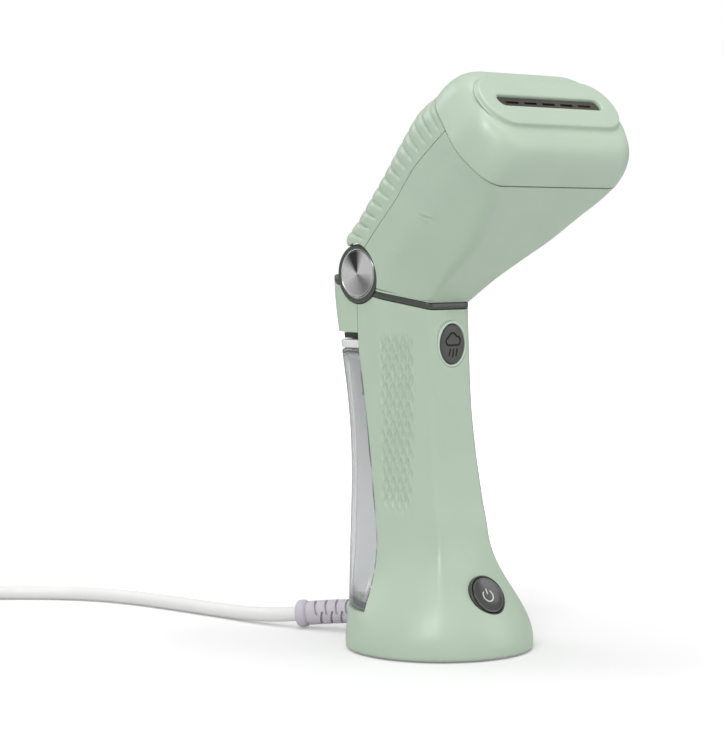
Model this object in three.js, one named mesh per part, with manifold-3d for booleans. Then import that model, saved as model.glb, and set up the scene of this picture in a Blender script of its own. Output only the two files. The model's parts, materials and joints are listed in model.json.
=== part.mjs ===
// Handheld garment steamer: a round-footed handle that carries the water tank,
// pump and controls, and a fan-shaped steam head hinged to its top.
// Millimetres, +Z up. The origin is the centre of the round foot on the table;
// the steam face and both buttons look to -Y, the tank and the cord are at +Y.
import * as THREE from "three";
import { mergeVertices } from "three/addons/utils/BufferGeometryUtils.js";
import Module from "manifold-3d";

const wasm = await Module();
wasm.setup();

// ---------------------------------------------------------------- dimensions
const WALL = 2;              // moulded wall of every housing
const GAP = 0.3;             // clearance between pieces that touch
const SEAM = 0.4;            // visible joint line between two housings

// Handle: one row per height. front and rear are Y, flat is the half-width of
// the flat front, half the largest half-width, reached at Y = shoulder.
const BASE_RADIUS = 44;
const FOOT_LIFT = 0.8;       // the housing stands this far above the table
const FLARE_START = 4;       // below this height the section is the full circle
const FLARE_HEIGHT = 58;     // over this height it turns into the grip section
const FLARE_POWER = 1.35;
const HANDLE = [
  { z: 0, front: -18, rear: 43, flat: 15.5, half: 26.5, shoulder: 12 },
  { z: 40, front: -17.8, rear: 42.2, flat: 15.5, half: 25.5, shoulder: 12.5 },
  { z: 56, front: -17.2, rear: 42, flat: 15.5, half: 25, shoulder: 13 },
  { z: 70, front: -14.4, rear: 42.2, flat: 15, half: 24.4, shoulder: 14 },
  { z: 93, front: -11.2, rear: 43.2, flat: 13.4, half: 23.6, shoulder: 15 },
  { z: 116, front: -9.3, rear: 46, flat: 12, half: 23.2, shoulder: 15.5 },
  { z: 140, front: -8.2, rear: 50.2, flat: 11.6, half: 23.4, shoulder: 16 },
  { z: 165, front: -6, rear: 53.8, flat: 12.6, half: 24, shoulder: 16 },
  { z: 190, front: -4, rear: 55, flat: 13, half: 24, shoulder: 16 },
];
const HANDLE_LEVELS = [0, 9, 15, 21, 28, 36, 46, 58, 72, 93, 116, 140, 165, 190];
const HANDLE_ROUND = { front: 2.4, side: 14, rear: 11 };

// The handle ends in a sloping parting plane that rises towards the rear.
const PARTING_Z = 159.8;       // its height at Y = 0
const PARTING_ANGLE = THREE.MathUtils.degToRad(12.2);
const TRIM_THICKNESS = 2.8;  // dark strip between handle and head

// Head hinge, an axis along X at the top rear of the handle.
const HINGE_Y = 30;
const HINGE_Z = 174.9;
const HINGE_RING_RADIUS = 13.9;
const HINGE_RING_FACE = 24.9;      // half-width over the two dark rings
const HINGE_CUP_DEPTH = 5.9;
const HINGE_DISC_RADIUS = 11;
const HINGE_DISC_THICKNESS = 1.3;
const HINGE_PIN_RADIUS = 3;
const HINGE_BARREL_RADIUS = 9;
const HEAD_HEEL_ANGLE = THREE.MathUtils.degToRad(64);   // where the head leaves the ring
const RING_CLEARANCE = 0.4;

// Head: each row is a section in a plane that holds the X axis. low and high are
// its [Y, Z] ends; halves are along X; shoulder is the share of the depth.
const HEAD = [
  { low: [-6.6, 161.8], high: [44.4, 172.7], flat: 12.8, half: 24.2, back: 24.2, shoulder: 0.42, r: [2.4, 14, 9] },
  { low: [-20.2, 171.7], high: [43.6, 188.8], flat: 16.4, half: 27.6, back: 25.4, shoulder: 0.4, r: [5, 16, 10] },
  { low: [-35.2, 181], high: [31.9, 201.7], flat: 20.2, half: 31.4, back: 27, shoulder: 0.39, r: [7, 18, 12] },
  { low: [-49.8, 190.3], high: [14.2, 219.4], flat: 25, half: 36, back: 29.8, shoulder: 0.37, r: [9, 20, 14] },
  { low: [-61, 200], high: [-4.3, 236], flat: 31, half: 41.4, back: 35.2, shoulder: 0.35, r: [10, 22, 16] },
  { low: [-70.2, 208], high: [-21, 250.2], flat: 36.7, half: 45.8, back: 39.4, shoulder: 0.34, r: [11, 24, 18] },
];

// Steam face: its frame has x along X, y up the slope and z out of the face.
const FACE_CENTRE = [0, -70.5, 251.3];
const FACE_TILT = THREE.MathUtils.degToRad(43);    // how far the face looks up
const CAP_DEPTH = 23;        // from the face back to the cap's joint line
const CAP = { low: -30.3, high: 28.2, flat: 41.6, half: 49, back: 41.5, shoulder: 0.34, r: [12, 26, 19] };
const CAP_FRONT_SCALE = [0.84, 0.6];   // the section's size just behind the face
const CAP_ROUND = 2.3;       // how squarely the cap turns into its face
const PLATEAU_HALF = [41.5, 14.2];
const PLATEAU_CORNER = 13.4;
const PLATEAU_HEIGHT = 2.4;
const SLOT_LENGTH = 64.5;
const SLOT_WIDTH = 6.2;

// The line on the head's side where the ribbed back cover meets the shell.
const BACK_SEAM = [
  [40, 174], [24.5, 185.6], [6, 199.8], [-5.3, 210.2], [-15.3, 218.2],
  [-30, 226.8], [-53.7, 238.7], [-90, 256],
];

// Water tank, behind a leaning plane in the back of the handle.
const TANK_PLANE_Y = 6.2;    // where the plane meets Z = 0
const TANK_LEAN = THREE.MathUtils.degToRad(9.9);
const TANK_BOTTOM = 19;
const TANK_TOP = 139.6;
const TANK_CAP_THICKNESS = 3.8;
const BAY_TOP = 147;
const TANK_WALL = 1.8;
const TANK_SIDE_GAP = 0.5;
const REAR_COVER_FRONT = 31;
const STOPPER_Z = 122;
const STOPPER_RADIUS = 6.5;
const VALVE_Z = 34;
const VALVE_RADIUS = 4.6;
const LATCH_HALF = 15;
const LATCH_HEIGHT = 2.6;

// Buttons on the front.
const STEAM_Z = 142.5;
const STEAM_HALF = [7.7, 9.2];
const STEAM_BEZEL = 1.5;
const STEAM_PROUD = 0.9;
const STEAM_DEPTH = 5;
const STEAM_TRAVEL = 1.6;
const POWER_Z = 28;
const POWER_TILT = THREE.MathUtils.degToRad(31);   // how far the button looks up
const POWER_RADIUS = 8.8;
const POWER_RIM = 1.1;
const POWER_PROUD = 1.1;
const POWER_DEPTH = 5;
const POWER_TRAVEL = 1.4;

// Cord, strain relief and plug.
const CORD_RADIUS = 3.6;
const CORD_EXIT_Z = 11.5;
const RELIEF_RADIUS = [7.6, 5.9];
const RELIEF_COLLAR = 6.8;
const CORD_POINTS = [
  [-16.6, 83.4, 6.95], [-20.2, 92, 5.9], [-22.8, 103, 4.9], [-24.6, 117, 4.1], [-26.2, 134, 3.8],
  [-28.6, 152, 3.8], [-31.2, 170, 3.8], [-34.2, 188, 3.8], [-38.8, 205.5, 3.8], [-46.4, 221.5, 3.8],
  [-57.5, 236, 3.8], [-71.5, 249, 3.8], [-87.4, 261.6, 3.8], [-100.7, 272, 3.8],
];
const COIL_CENTRE = [-146, 254];
const COIL_RADIUS = 38;            // at the middle of its two columns of turns
const COIL_COLUMNS = 2;
const COIL_LAYERS = 3;
const COIL_END_ANGLE = THREE.MathUtils.degToRad(185);
const TAIL_LENGTH = 24;
const PLUG_Z = 10.6;
const PLUG_BODY = [24, 34, 17];    // width, length, height
const PLUG_NECK = 16;
const BLADE = [1.5, 17, 6.4];
const BLADE_SPACING = 12.7;

// ------------------------------------------------------------------- colours
const GREEN = { color: 0xafc8b4, roughness: 0.42, metalness: 0 };
const DARK = { color: 0x3f453d, roughness: 0.45, metalness: 0 };
const METAL = { color: 0xc9cacb, roughness: 0.28, metalness: 1 };
const STEEL = { color: 0xa9abad, roughness: 0.35, metalness: 1 };
const ALUMINIUM = { color: 0xb9bbbd, roughness: 0.5, metalness: 1 };
const CLEAR = { color: 0xdfe3e2, roughness: 0.1, metalness: 0 };
const PALE = { color: 0xd9d9d6, roughness: 0.4, metalness: 0 };
const GREY = { color: 0x8d8f8c, roughness: 0.6, metalness: 0 };
const RUBBER = { color: 0x33363a, roughness: 0.8, metalness: 0 };
const SILICONE = { color: 0xe4e6e4, roughness: 0.5, metalness: 0 };
const BOARD = { color: 0x2f6b46, roughness: 0.5, metalness: 0 };
const MAUVE = { color: 0xc9c2cc, roughness: 0.6, metalness: 0 };
const CORD_WHITE = { color: 0xe6e5e3, roughness: 0.5, metalness: 0 };
const COPPER_RED = { color: 0xa34a3a, roughness: 0.5, metalness: 0 };
const BLUE = { color: 0x4a648f, roughness: 0.5, metalness: 0 };

// ------------------------------------------------------------------- helpers
const { degToRad, lerp } = THREE.MathUtils;

function solid(geometry) {
  const bare = geometry.clone();
  bare.deleteAttribute("normal");
  bare.deleteAttribute("uv");
  const merged = mergeVertices(bare, 1e-4);
  const vertProperties = new Float32Array(merged.attributes.position.array);
  const triVerts = new Uint32Array(merged.index.array);
  return new wasm.Manifold(new wasm.Mesh({ numProp: 3, vertProperties, triVerts }));
}

function geometryOf(manifold) {
  const { numProp, vertProperties, triVerts } = manifold.getMesh();
  const positions = new Float32Array((vertProperties.length / numProp) * 3);
  for (let i = 0; i < positions.length / 3; i++) {
    for (let k = 0; k < 3; k++) positions[3 * i + k] = vertProperties[numProp * i + k];
  }
  const geometry = new THREE.BufferGeometry();
  geometry.setAttribute("position", new THREE.BufferAttribute(positions, 3));
  geometry.setIndex(Array.from(triVerts));
  return geometry;
}

function cut(base, ...tools) {
  return geometryOf(tools.reduce((left, tool) => left.subtract(solid(tool)), solid(base)));
}

function join(base, ...others) {
  return geometryOf(others.reduce((left, other) => left.add(solid(other)), solid(base)));
}

function common(base, ...others) {
  return geometryOf(others.reduce((left, other) => left.intersect(solid(other)), solid(base)));
}

function box(low, high) {
  const size = low.map((value, k) => high[k] - value);
  const centre = low.map((value, k) => (value + high[k]) / 2);
  return new THREE.BoxGeometry(...size).translate(...centre);
}

// A cylinder along X, Y or Z between two places on that axis.
function rod(axis, radius, from, to, centre = [0, 0], sides = 18) {
  const geometry = new THREE.CylinderGeometry(radius, radius, to - from, sides);
  const middle = (from + to) / 2;
  if (axis === "x") return geometry.rotateZ(-Math.PI / 2).translate(middle, centre[0], centre[1]);
  if (axis === "y") return geometry.translate(centre[0], middle, centre[1]);
  return geometry.rotateX(Math.PI / 2).translate(centre[0], centre[1], middle);
}

// A closed skin through rings of equal point counts, with fanned ends.
function loft(rings) {
  const count = rings[0].length;
  const positions = [];
  rings.forEach((ring) => ring.forEach((point) => positions.push(...point)));
  const index = [];
  for (let r = 0; r + 1 < rings.length; r++) {
    for (let i = 0; i < count; i++) {
      const a = r * count + i;
      const b = r * count + ((i + 1) % count);
      index.push(a, b, b + count, a, b + count, a + count);
    }
  }
  [0, rings.length - 1].forEach((r) => {
    const middle = [0, 1, 2].map((k) => rings[r].reduce((sum, point) => sum + point[k], 0) / count);
    const hub = positions.length / 3;
    positions.push(...middle);
    for (let i = 0; i < count; i++) {
      const a = r * count + i;
      const b = r * count + ((i + 1) % count);
      index.push(...(r === 0 ? [hub, b, a] : [hub, a, b]));
    }
  });
  const geometry = new THREE.BufferGeometry();
  geometry.setAttribute("position", new THREE.Float32BufferAttribute(positions, 3));
  geometry.setIndex(index);
  return geometry;
}

// Half outline of a section: front flat, flared side, rounded rear. Returns the
// whole closed outline as [x, y] pairs, with y from 0 to depth.
function sectionOutline(shape, depth, radii, arcs = [2, 3, 4], fills = [2, 1, 1, 1]) {
  const corners = [
    [shape.flat, 0],
    [shape.half, shape.shoulder],
    [shape.back, depth],
  ];
  const chain = [[0, 0], ...corners, [0, depth]];
  const side = [];
  // Straight stretches get points in between, so that the outline can turn round.
  const runTo = (point, count) => {
    const last = side.at(-1) ?? [0, 0];
    for (let k = 1; k <= count; k++) {
      side.push([0, 1].map((axis) => lerp(last[axis], point[axis], k / (count + 1))));
    }
  };
  corners.forEach((corner, i) => {
    const at = new THREE.Vector2(...corner);
    const before = new THREE.Vector2(...chain[i]).sub(at);
    const after = new THREE.Vector2(...chain[i + 2]).sub(at);
    const turn = Math.PI - before.angleTo(after);
    const room = 0.48 * Math.min(before.length(), after.length());
    const radius = Math.min(radii[i], room / Math.tan(turn / 2));
    const tangent = radius * Math.tan(turn / 2);
    const start = at.clone().add(before.clone().setLength(tangent));
    const end = at.clone().add(after.clone().setLength(tangent));
    const inward = before.clone().normalize().add(after.clone().normalize()).normalize();
    const centre = at.clone().add(inward.multiplyScalar(radius / Math.cos(turn / 2)));
    const from = Math.atan2(start.y - centre.y, start.x - centre.x);
    let sweep = Math.atan2(end.y - centre.y, end.x - centre.x) - from;
    sweep = Math.atan2(Math.sin(sweep), Math.cos(sweep));
    runTo([start.x, start.y], fills[i]);
    for (let k = 0; k <= arcs[i]; k++) {
      const angle = from + (sweep * k) / arcs[i];
      side.push([centre.x + radius * Math.cos(angle), centre.y + radius * Math.sin(angle)]);
    }
  });
  runTo([0, depth], fills[3]);
  const mirrored = side.map(([x, y]) => [-x, y]).reverse();
  return [[0, 0], ...side, [0, depth], ...mirrored];
}

function rowAt(rows, z, key) {
  const next = Math.max(1, rows.findIndex((row) => row.z >= z));
  const [a, b] = [rows[next - 1], rows[next]];
  return lerp(a[key], b[key], (z - a.z) / (b.z - a.z));
}

function roundShare(z) {
  const share = THREE.MathUtils.clamp((z - FLARE_START) / FLARE_HEIGHT, 0, 1);
  return Math.pow(Math.cos((Math.PI / 2) * share), 2 * FLARE_POWER);
}

// The handle's outline at a height, pulled in by inset.
function handleRing(z, inset = 0) {
  const row = Object.fromEntries(["front", "rear", "flat", "half", "shoulder"].map((key) => [key, rowAt(HANDLE, z, key)]));
  const front = row.front + inset;
  const shape = {
    flat: row.flat - 0.55 * inset,
    half: row.half - inset,
    back: row.half - inset,
    shoulder: row.shoulder - front,
  };
  const radii = [HANDLE_ROUND.front, HANDLE_ROUND.side, HANDLE_ROUND.rear].map((r) => Math.max(r - 0.5 * inset, 1));
  const share = roundShare(z);
  const circle = BASE_RADIUS - inset;
  return sectionOutline(shape, row.rear - inset - front, radii).map(([x, y]) => {
    const angle = Math.atan2(y + front, x);
    return [lerp(x, circle * Math.cos(angle), share), lerp(y + front, circle * Math.sin(angle), share), z];
  });
}

function handleLoft(inset, from, to) {
  const levels = [from, ...HANDLE_LEVELS.filter((z) => z > from + 1 && z < to - 1), to];
  return loft(levels.map((z) => handleRing(z, inset)));
}

// Where the handle's surface crosses the plane X = 0 at the front or the rear.
const frontAt = (z) => handleRing(z)[0][1];
const rearAt = (z) => handleRing(z).reduce((most, point) => Math.max(most, point[1]), -Infinity);
const halfAt = (z) => rowAt(HANDLE, z, "half");

// Everything above the parting plane, raised by an offset.
function aboveParting(offset) {
  const block = box([-200, -300, 0], [200, 300, 300]);
  return block.rotateX(PARTING_ANGLE).translate(0, 0, PARTING_Z + offset / Math.cos(PARTING_ANGLE));
}

// Everything behind the tank plane, moved back by an offset, between two heights.
function behindTankPlane(offset, low, high) {
  const block = box([-100, 0, -300], [100, 300, 300]).rotateX(-TANK_LEAN);
  block.translate(0, TANK_PLANE_Y + offset / Math.cos(TANK_LEAN), 0);
  return common(block, box([-100, -100, low], [100, 200, high]));
}

const tankPlaneAt = (z) => TANK_PLANE_Y + z * Math.tan(TANK_LEAN);

// ---------------------------------------------------------------- head shapes
function headRing(row, inset, lift = 0) {
  const low = new THREE.Vector2(...row.low);
  const high = new THREE.Vector2(...row.high);
  const depth = low.distanceTo(high) - 2 * inset;
  const along = high.clone().sub(low).normalize();
  const start = low.add(along.clone().multiplyScalar(inset));
  const raise = new THREE.Vector2(-along.y, along.x).multiplyScalar(lift);
  const shape = {
    flat: row.flat - 0.6 * inset,
    half: row.half - inset,
    back: row.back - inset,
    shoulder: row.shoulder * depth,
  };
  const radii = row.r.map((r) => Math.max(r - 0.6 * inset, 1));
  return sectionOutline(shape, depth, radii).map(([x, y]) => [
    x,
    start.x + along.x * y + raise.x,
    start.y + along.y * y + raise.y,
  ]);
}

// A section of the steam cap in the face frame, brought into the head's frame.
function faceToHead(x, y, z) {
  const across = [Math.sin(FACE_TILT), Math.cos(FACE_TILT)];
  const out = [-Math.cos(FACE_TILT), Math.sin(FACE_TILT)];
  return [x, FACE_CENTRE[1] + across[0] * y + out[0] * z, FACE_CENTRE[2] + across[1] * y + out[1] * z];
}

function capRing(z, inset, scale = [1, 1]) {
  const depth = CAP.high - CAP.low - 2 * inset;
  const shape = {
    flat: CAP.flat - 0.6 * inset,
    half: CAP.half - inset,
    back: CAP.back - inset,
    shoulder: CAP.shoulder * depth,
  };
  const radii = CAP.r.map((r) => r - 0.6 * inset);
  return sectionOutline(shape, depth, radii).map(([x, y]) =>
    faceToHead(x * scale[0], (y + CAP.low + inset) * scale[1], z));
}

function headLoft(inset, lift, end) {
  const rings = HEAD.map((row, i) => headRing(row, inset, i === 0 ? lift : 0));
  return loft([...rings, capRing(end, inset)]);
}

// Everything on the rear side of the back cover's joint line.
function behindBackSeam(offset) {
  const shape = new THREE.Shape(BACK_SEAM.map(([y, z]) => new THREE.Vector2(y, z + offset)));
  shape.lineTo(-90, 400);
  shape.lineTo(200, 400);
  shape.lineTo(200, 120);
  const block = new THREE.ExtrudeGeometry(shape, { depth: 200, bevelEnabled: false });
  // shape x -> Y, shape y -> Z, extrusion -> X
  block.applyMatrix4(new THREE.Matrix4().set(0, 0, 1, -100, 1, 0, 0, 0, 0, 1, 0, 0, 0, 0, 0, 1));
  return block;
}

// Everything below the ray on which the head's heel stands clear of the ring.
function behindHeel() {
  const block = box([-100, -150, -300], [100, 150, 0]).rotateX(HEAD_HEEL_ANGLE);
  return block.translate(0, HINGE_Y, HINGE_Z);
}

function ringSpace() {
  return rod("x", HINGE_RING_RADIUS + RING_CLEARANCE, -60, 60, [HINGE_Y, HINGE_Z], 32);
}

function stadium(halfLength, halfWidth, corner, bevelled = 0) {
  const shape = new THREE.Shape();
  const [a, b] = [halfLength - bevelled, halfWidth - bevelled];
  const r = Math.min(corner, a, b) - 0.001;
  shape.moveTo(-a + r, -b);
  shape.lineTo(a - r, -b);
  shape.absarc(a - r, -b + r, r, -Math.PI / 2, 0);
  shape.absarc(a - r, b - r, r, 0, Math.PI / 2);
  shape.absarc(-a + r, b - r, r, Math.PI / 2, Math.PI);
  shape.absarc(-a + r, -b + r, r, Math.PI, 1.5 * Math.PI);
  return shape;
}

function slab(shape, from, to, curveSegments = 4) {
  return new THREE.ExtrudeGeometry(shape, { depth: to - from, bevelEnabled: false, curveSegments })
    .translate(0, 0, from);
}

// A closed tube of changing radius along a curve.
function tube(points, radii, sides = 8, steps = 12) {
  const curve = new THREE.CatmullRomCurve3(points.map((point) => new THREE.Vector3(...point)));
  const rings = [];
  const frames = curve.computeFrenetFrames(steps, false);
  for (let s = 0; s <= steps; s++) {
    const t = s / steps;
    const centre = curve.getPointAt(t);
    const place = t * (radii.length - 1);
    const lower = Math.min(Math.floor(place), radii.length - 2);
    const radius = lerp(radii[lower], radii[lower + 1], place - lower);
    const ring = [];
    for (let k = 0; k < sides; k++) {
      const angle = (2 * Math.PI * k) / sides;
      const point = centre.clone()
        .addScaledVector(frames.normals[s], radius * Math.cos(angle))
        .addScaledVector(frames.binormals[s], radius * Math.sin(angle));
      ring.push(point.toArray());
    }
    rings.push(ring);
  }
  return loft(rings);
}

const steamer = new THREE.Group();

function add(parent, name, geometry, finish) {
  const mesh = new THREE.Mesh(geometry, new THREE.MeshStandardMaterial(finish));
  mesh.name = name;
  parent.add(mesh);
  return mesh;
}

// ------------------------------------------------------------ handle housings
const handle = new THREE.Group();
steamer.add(handle);

const BAY_WALL_BACK = -WALL;       // the bay wall's inner face, behind the tank plane
const PARTING_TOP = 190;
const frontButton = new THREE.Group();
frontButton.position.set(0, frontAt(STEAM_Z), STEAM_Z);
frontButton.rotation.x = Math.PI / 2;      // local Z looks out of the front
handle.add(frontButton);
const powerButton = new THREE.Group();
powerButton.position.set(0, frontAt(POWER_Z), POWER_Z);
powerButton.rotation.x = Math.PI / 2 - POWER_TILT;
handle.add(powerButton);

function inGroup(group, geometry) {
  group.updateMatrixWorld(true);
  return geometry.applyMatrix4(group.matrixWorld);
}

function oval(halves, from, to, sides = 12) {
  const shape = new THREE.Shape().absellipse(0, 0, halves[0], halves[1], 0, 2 * Math.PI);
  return new THREE.ExtrudeGeometry(shape, { depth: to - from, bevelEnabled: false, curveSegments: sides })
    .translate(0, 0, from);
}

const steamHole = inGroup(frontButton, oval(STEAM_HALF.map((r) => r + STEAM_BEZEL + GAP), -14, 10));
const powerHole = inGroup(powerButton, oval([POWER_RADIUS + POWER_RIM + GAP, POWER_RADIUS + POWER_RIM + GAP], -14, 12));
const exitHole = rod("y", RELIEF_RADIUS[0] + GAP, 30, 60, [0, CORD_EXIT_Z]);
const rearTop = box([-60, REAR_COVER_FRONT, BAY_TOP], [60, 120, 240]);
const keptWall = behindTankPlane(BAY_WALL_BACK, TANK_BOTTOM - WALL, BAY_TOP + WALL);
const handleCavity = cut(handleLoft(WALL, FOOT_LIFT - 5, PARTING_TOP), keptWall);

const VALVE_PORT = VALVE_RADIUS + GAP;
const valvePort = rod("y", VALVE_PORT, -10, 60, [0, VALVE_Z]);
const handleOuter = handleLoft(0, FOOT_LIFT, PARTING_TOP);
const handleBody = cut(
  handleOuter,
  aboveParting(0),
  handleCavity,
  behindTankPlane(0, TANK_BOTTOM, BAY_TOP),
  rearTop,
  ringSpace(),
);
add(handle, "handle_shell", cut(handleBody, steamHole, powerHole, exitHole,
  common(valvePort, behindTankPlane(-WALL - 1, 0, BAY_TOP))), GREEN);

const coverZone = box([-60, REAR_COVER_FRONT + SEAM, BAY_TOP + SEAM], [60, 120, 240]);
const coverCavity = common(handleLoft(WALL, 100, PARTING_TOP), box([-60, 0, BAY_TOP + SEAM + WALL], [60, 120, 240]));
add(handle, "rear_cover", cut(common(handleOuter, coverZone), aboveParting(0), coverCavity, ringSpace()), GREEN);

// Foot: a screwed-on base plate with a rubber disc that rests on the table.
const BASE_PLATE = [1.4, 3.4];
const RUBBER_FOOT = { radius: 36, top: BASE_PLATE[0] - GAP };
const BASE_SCREW = { place: 32, head: 3, shank: 1.5, length: 9 };
const BOSS_RADIUS = 3.6;
const screwPlaces = [90, 210, 330].map(degToRad).map((a) => [BASE_SCREW.place * Math.cos(a), -BASE_SCREW.place * Math.sin(a)]);
const plateBosses = screwPlaces.map((at) => rod("z", BOSS_RADIUS + 0.6, BASE_PLATE[0], BASE_PLATE[1] + 2.2, at, 16));
const screwBores = screwPlaces.map((at) => rod("z", BASE_SCREW.shank + GAP, -1, 20, at, 12));
const screwSinks = screwPlaces.map((at) => rod("z", BASE_SCREW.head + GAP, -1, BASE_PLATE[0] + 2.2, at, 16));
add(handle, "base_plate",
  cut(join(handleLoft(WALL + GAP, ...BASE_PLATE), ...plateBosses), ...screwBores, ...screwSinks), DARK);
screwPlaces.forEach((at, i) => {
  const head = rod("z", BASE_SCREW.head, BASE_PLATE[0] + 0.1, BASE_PLATE[0] + 1.9, at, 12);
  const shank = rod("z", BASE_SCREW.shank, BASE_PLATE[0] + 1, BASE_SCREW.length, at, 8);
  add(handle, `base_screw_${i + 1}`, join(head, shank), STEEL);
});
add(handle, "rubber_foot", rod("z", RUBBER_FOOT.radius, 0, RUBBER_FOOT.top, [0, 0], 36), RUBBER);

// Dark trim in the parting plane, in front of the hinge and behind it.
const trimSlab = cut(
  common(handleLoft(-0.15, 100, PARTING_TOP), aboveParting(GAP)),
  aboveParting(GAP + TRIM_THICKNESS),
  ringSpace(),
);
const hosePass = box([-9, -2, 100], [9, 60, 240]);
add(handle, "parting_trim_front", cut(common(trimSlab, box([-60, -60, 0], [60, HINGE_Y, 300])), hosePass), DARK);
add(handle, "parting_trim_rear", common(trimSlab, box([-60, HINGE_Y, 0], [60, 120, 300])), DARK);

// ------------------------------------------------------------ hinge and frame
const HINGE_AXIS = [HINGE_Y, HINGE_Z];
const cupInner = HINGE_RING_FACE - HINGE_CUP_DEPTH;
const lugHalf = halfAt(BAY_TOP + WALL) - WALL - GAP;
const DISC_RECESS = 0.9;
[-1, 1].forEach((side) => {
  const label = side < 0 ? "left" : "right";
  const span = (a, b) => (side < 0 ? [-b, -a] : [a, b]);
  const cup = rod("x", HINGE_RING_RADIUS, ...span(cupInner, HINGE_RING_FACE), HINGE_AXIS, 28);
  const lugX = span(cupInner, lugHalf);
  const lug = box([lugX[0], HINGE_Y - 9, BAY_TOP + WALL + 6], [lugX[1], HINGE_Y - GAP, HINGE_Z - 4]);
  const recess = rod("x", HINGE_DISC_RADIUS + GAP,
    ...span(HINGE_RING_FACE - DISC_RECESS - GAP, HINGE_RING_FACE + 5), HINGE_AXIS, 28);
  const bore = rod("x", HINGE_PIN_RADIUS + GAP, ...span(cupInner - 1, HINGE_RING_FACE - 2.4), HINGE_AXIS, 20);
  add(handle, `hinge_ring_${label}`, cut(join(cup, lug), recess, bore), DARK);
  add(handle, `hinge_disc_${label}`,
    rod("x", HINGE_DISC_RADIUS, ...span(HINGE_RING_FACE - DISC_RECESS, HINGE_RING_FACE - DISC_RECESS + HINGE_DISC_THICKNESS),
      HINGE_AXIS, 28), METAL);
});
const pinHalf = HINGE_RING_FACE - 2.4 - GAP;
add(handle, "hinge_pin", rod("x", HINGE_PIN_RADIUS, -pinHalf, pinHalf, HINGE_AXIS, 20), STEEL);

// Inner frame: a plate along the bay wall that carries the pump and the board.
const FRAME_THICKNESS = 2.2;
const FRAME_LOW = 48;
const FRAME_HIGH = 150;
const frameBack = BAY_WALL_BACK - GAP;
const frameFront = frameBack - FRAME_THICKNESS;
const frameZone = cut(
  behindTankPlane(frameFront, FRAME_LOW, FRAME_HIGH),
  behindTankPlane(frameBack, FRAME_LOW - 1, FRAME_HIGH + 1),
);
const framePlate = common(frameZone, handleLoft(WALL + GAP, 20, 170));
const BOARD_FACE_Y = frontAt(STEAM_Z) + WALL + 9.5;
const BOARD_THICKNESS = 1.6;
const BOARD_Z = [117, 155];
const BOARD_HALF = 12;
const postLength = (z) => tankPlaneAt(z) + frameFront + 1;
const boardPosts = [-8, 8].flatMap((x) => [BOARD_Z[0] + 4, BOARD_Z[1] - 8].map((z) =>
  box([x - 2, BOARD_FACE_Y + BOARD_THICKNESS + GAP, z - 2], [x + 2, postLength(z), z + 2])));
add(handle, "inner_frame", join(framePlate, ...boardPosts), DARK);
add(handle, "control_board",
  box([-BOARD_HALF, BOARD_FACE_Y, BOARD_Z[0]], [BOARD_HALF, BOARD_FACE_Y + BOARD_THICKNESS, BOARD_Z[1]]), BOARD);

// Pump between the frame and the front, fed from the tank's valve port.
const PUMP_Z = [62, 96];
const PUMP_HALF = 10;
const pumpBack = tankPlaneAt(PUMP_Z[0]) + frameFront / Math.cos(TANK_LEAN) - GAP;
const PUMP_DEPTH = 17;
const pumpMiddle = pumpBack - PUMP_DEPTH / 2;
const pumpBody = box([-PUMP_HALF, pumpBack - PUMP_DEPTH, PUMP_Z[0]], [PUMP_HALF, pumpBack, PUMP_Z[1]]);
const PUMP_NOZZLE = 2.2;
const pumpOutlet = rod("z", PUMP_NOZZLE, PUMP_Z[1] - 1, PUMP_Z[1] + 6, [0, pumpMiddle], 12);
const pumpInlet = rod("z", PUMP_NOZZLE, PUMP_Z[0] - 6, PUMP_Z[0] + 1, [0, pumpMiddle], 12);
const PUMP_COIL = { radius: 5.2, from: PUMP_Z[0] + 7, to: PUMP_Z[1] - 7, at: [0, pumpBack - PUMP_DEPTH + 0.6] };
add(handle, "pump_coil", rod("z", PUMP_COIL.radius, PUMP_COIL.from, PUMP_COIL.to, PUMP_COIL.at, 16), COPPER_RED);
add(handle, "pump_body", cut(join(pumpBody, pumpOutlet, pumpInlet),
  rod("z", PUMP_COIL.radius + GAP, PUMP_COIL.from - GAP, PUMP_COIL.to + GAP, PUMP_COIL.at, 16)), GREY);
const HOSE_RADIUS = 2.4;
const valveSeatY = tankPlaneAt(VALVE_Z) - WALL - 5;
const barbY = valveSeatY + 2;
const barbTop = VALVE_Z + VALVE_RADIUS + 3;
add(handle, "inlet_port", join(
  rod("y", VALVE_RADIUS, valveSeatY, tankPlaneAt(VALVE_Z) - 1.2, [0, VALVE_Z], 16),
  rod("z", HOSE_RADIUS - 0.6, VALVE_Z, barbTop, [0, barbY], 10)), GREY);
add(handle, "inlet_hose", tube([
  [0, barbY, barbTop + GAP], [0, barbY, barbTop + 3], [0, pumpMiddle, PUMP_Z[0] - 9],
  [0, pumpMiddle, PUMP_Z[0] - 6 - GAP]], [HOSE_RADIUS, HOSE_RADIUS]), SILICONE);
const hoseY = 21;
add(handle, "outlet_hose", tube([
  [0, pumpMiddle, PUMP_Z[1] + 6 + GAP], [0, pumpMiddle, PUMP_Z[1] + 8], [0, hoseY - 9, 115], [0, hoseY - 4, 130], [0, hoseY, 150],
  [0, HINGE_Y - 4, HINGE_Z - HINGE_BARREL_RADIUS - 1.2]], [HOSE_RADIUS, HOSE_RADIUS]), SILICONE);

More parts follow.
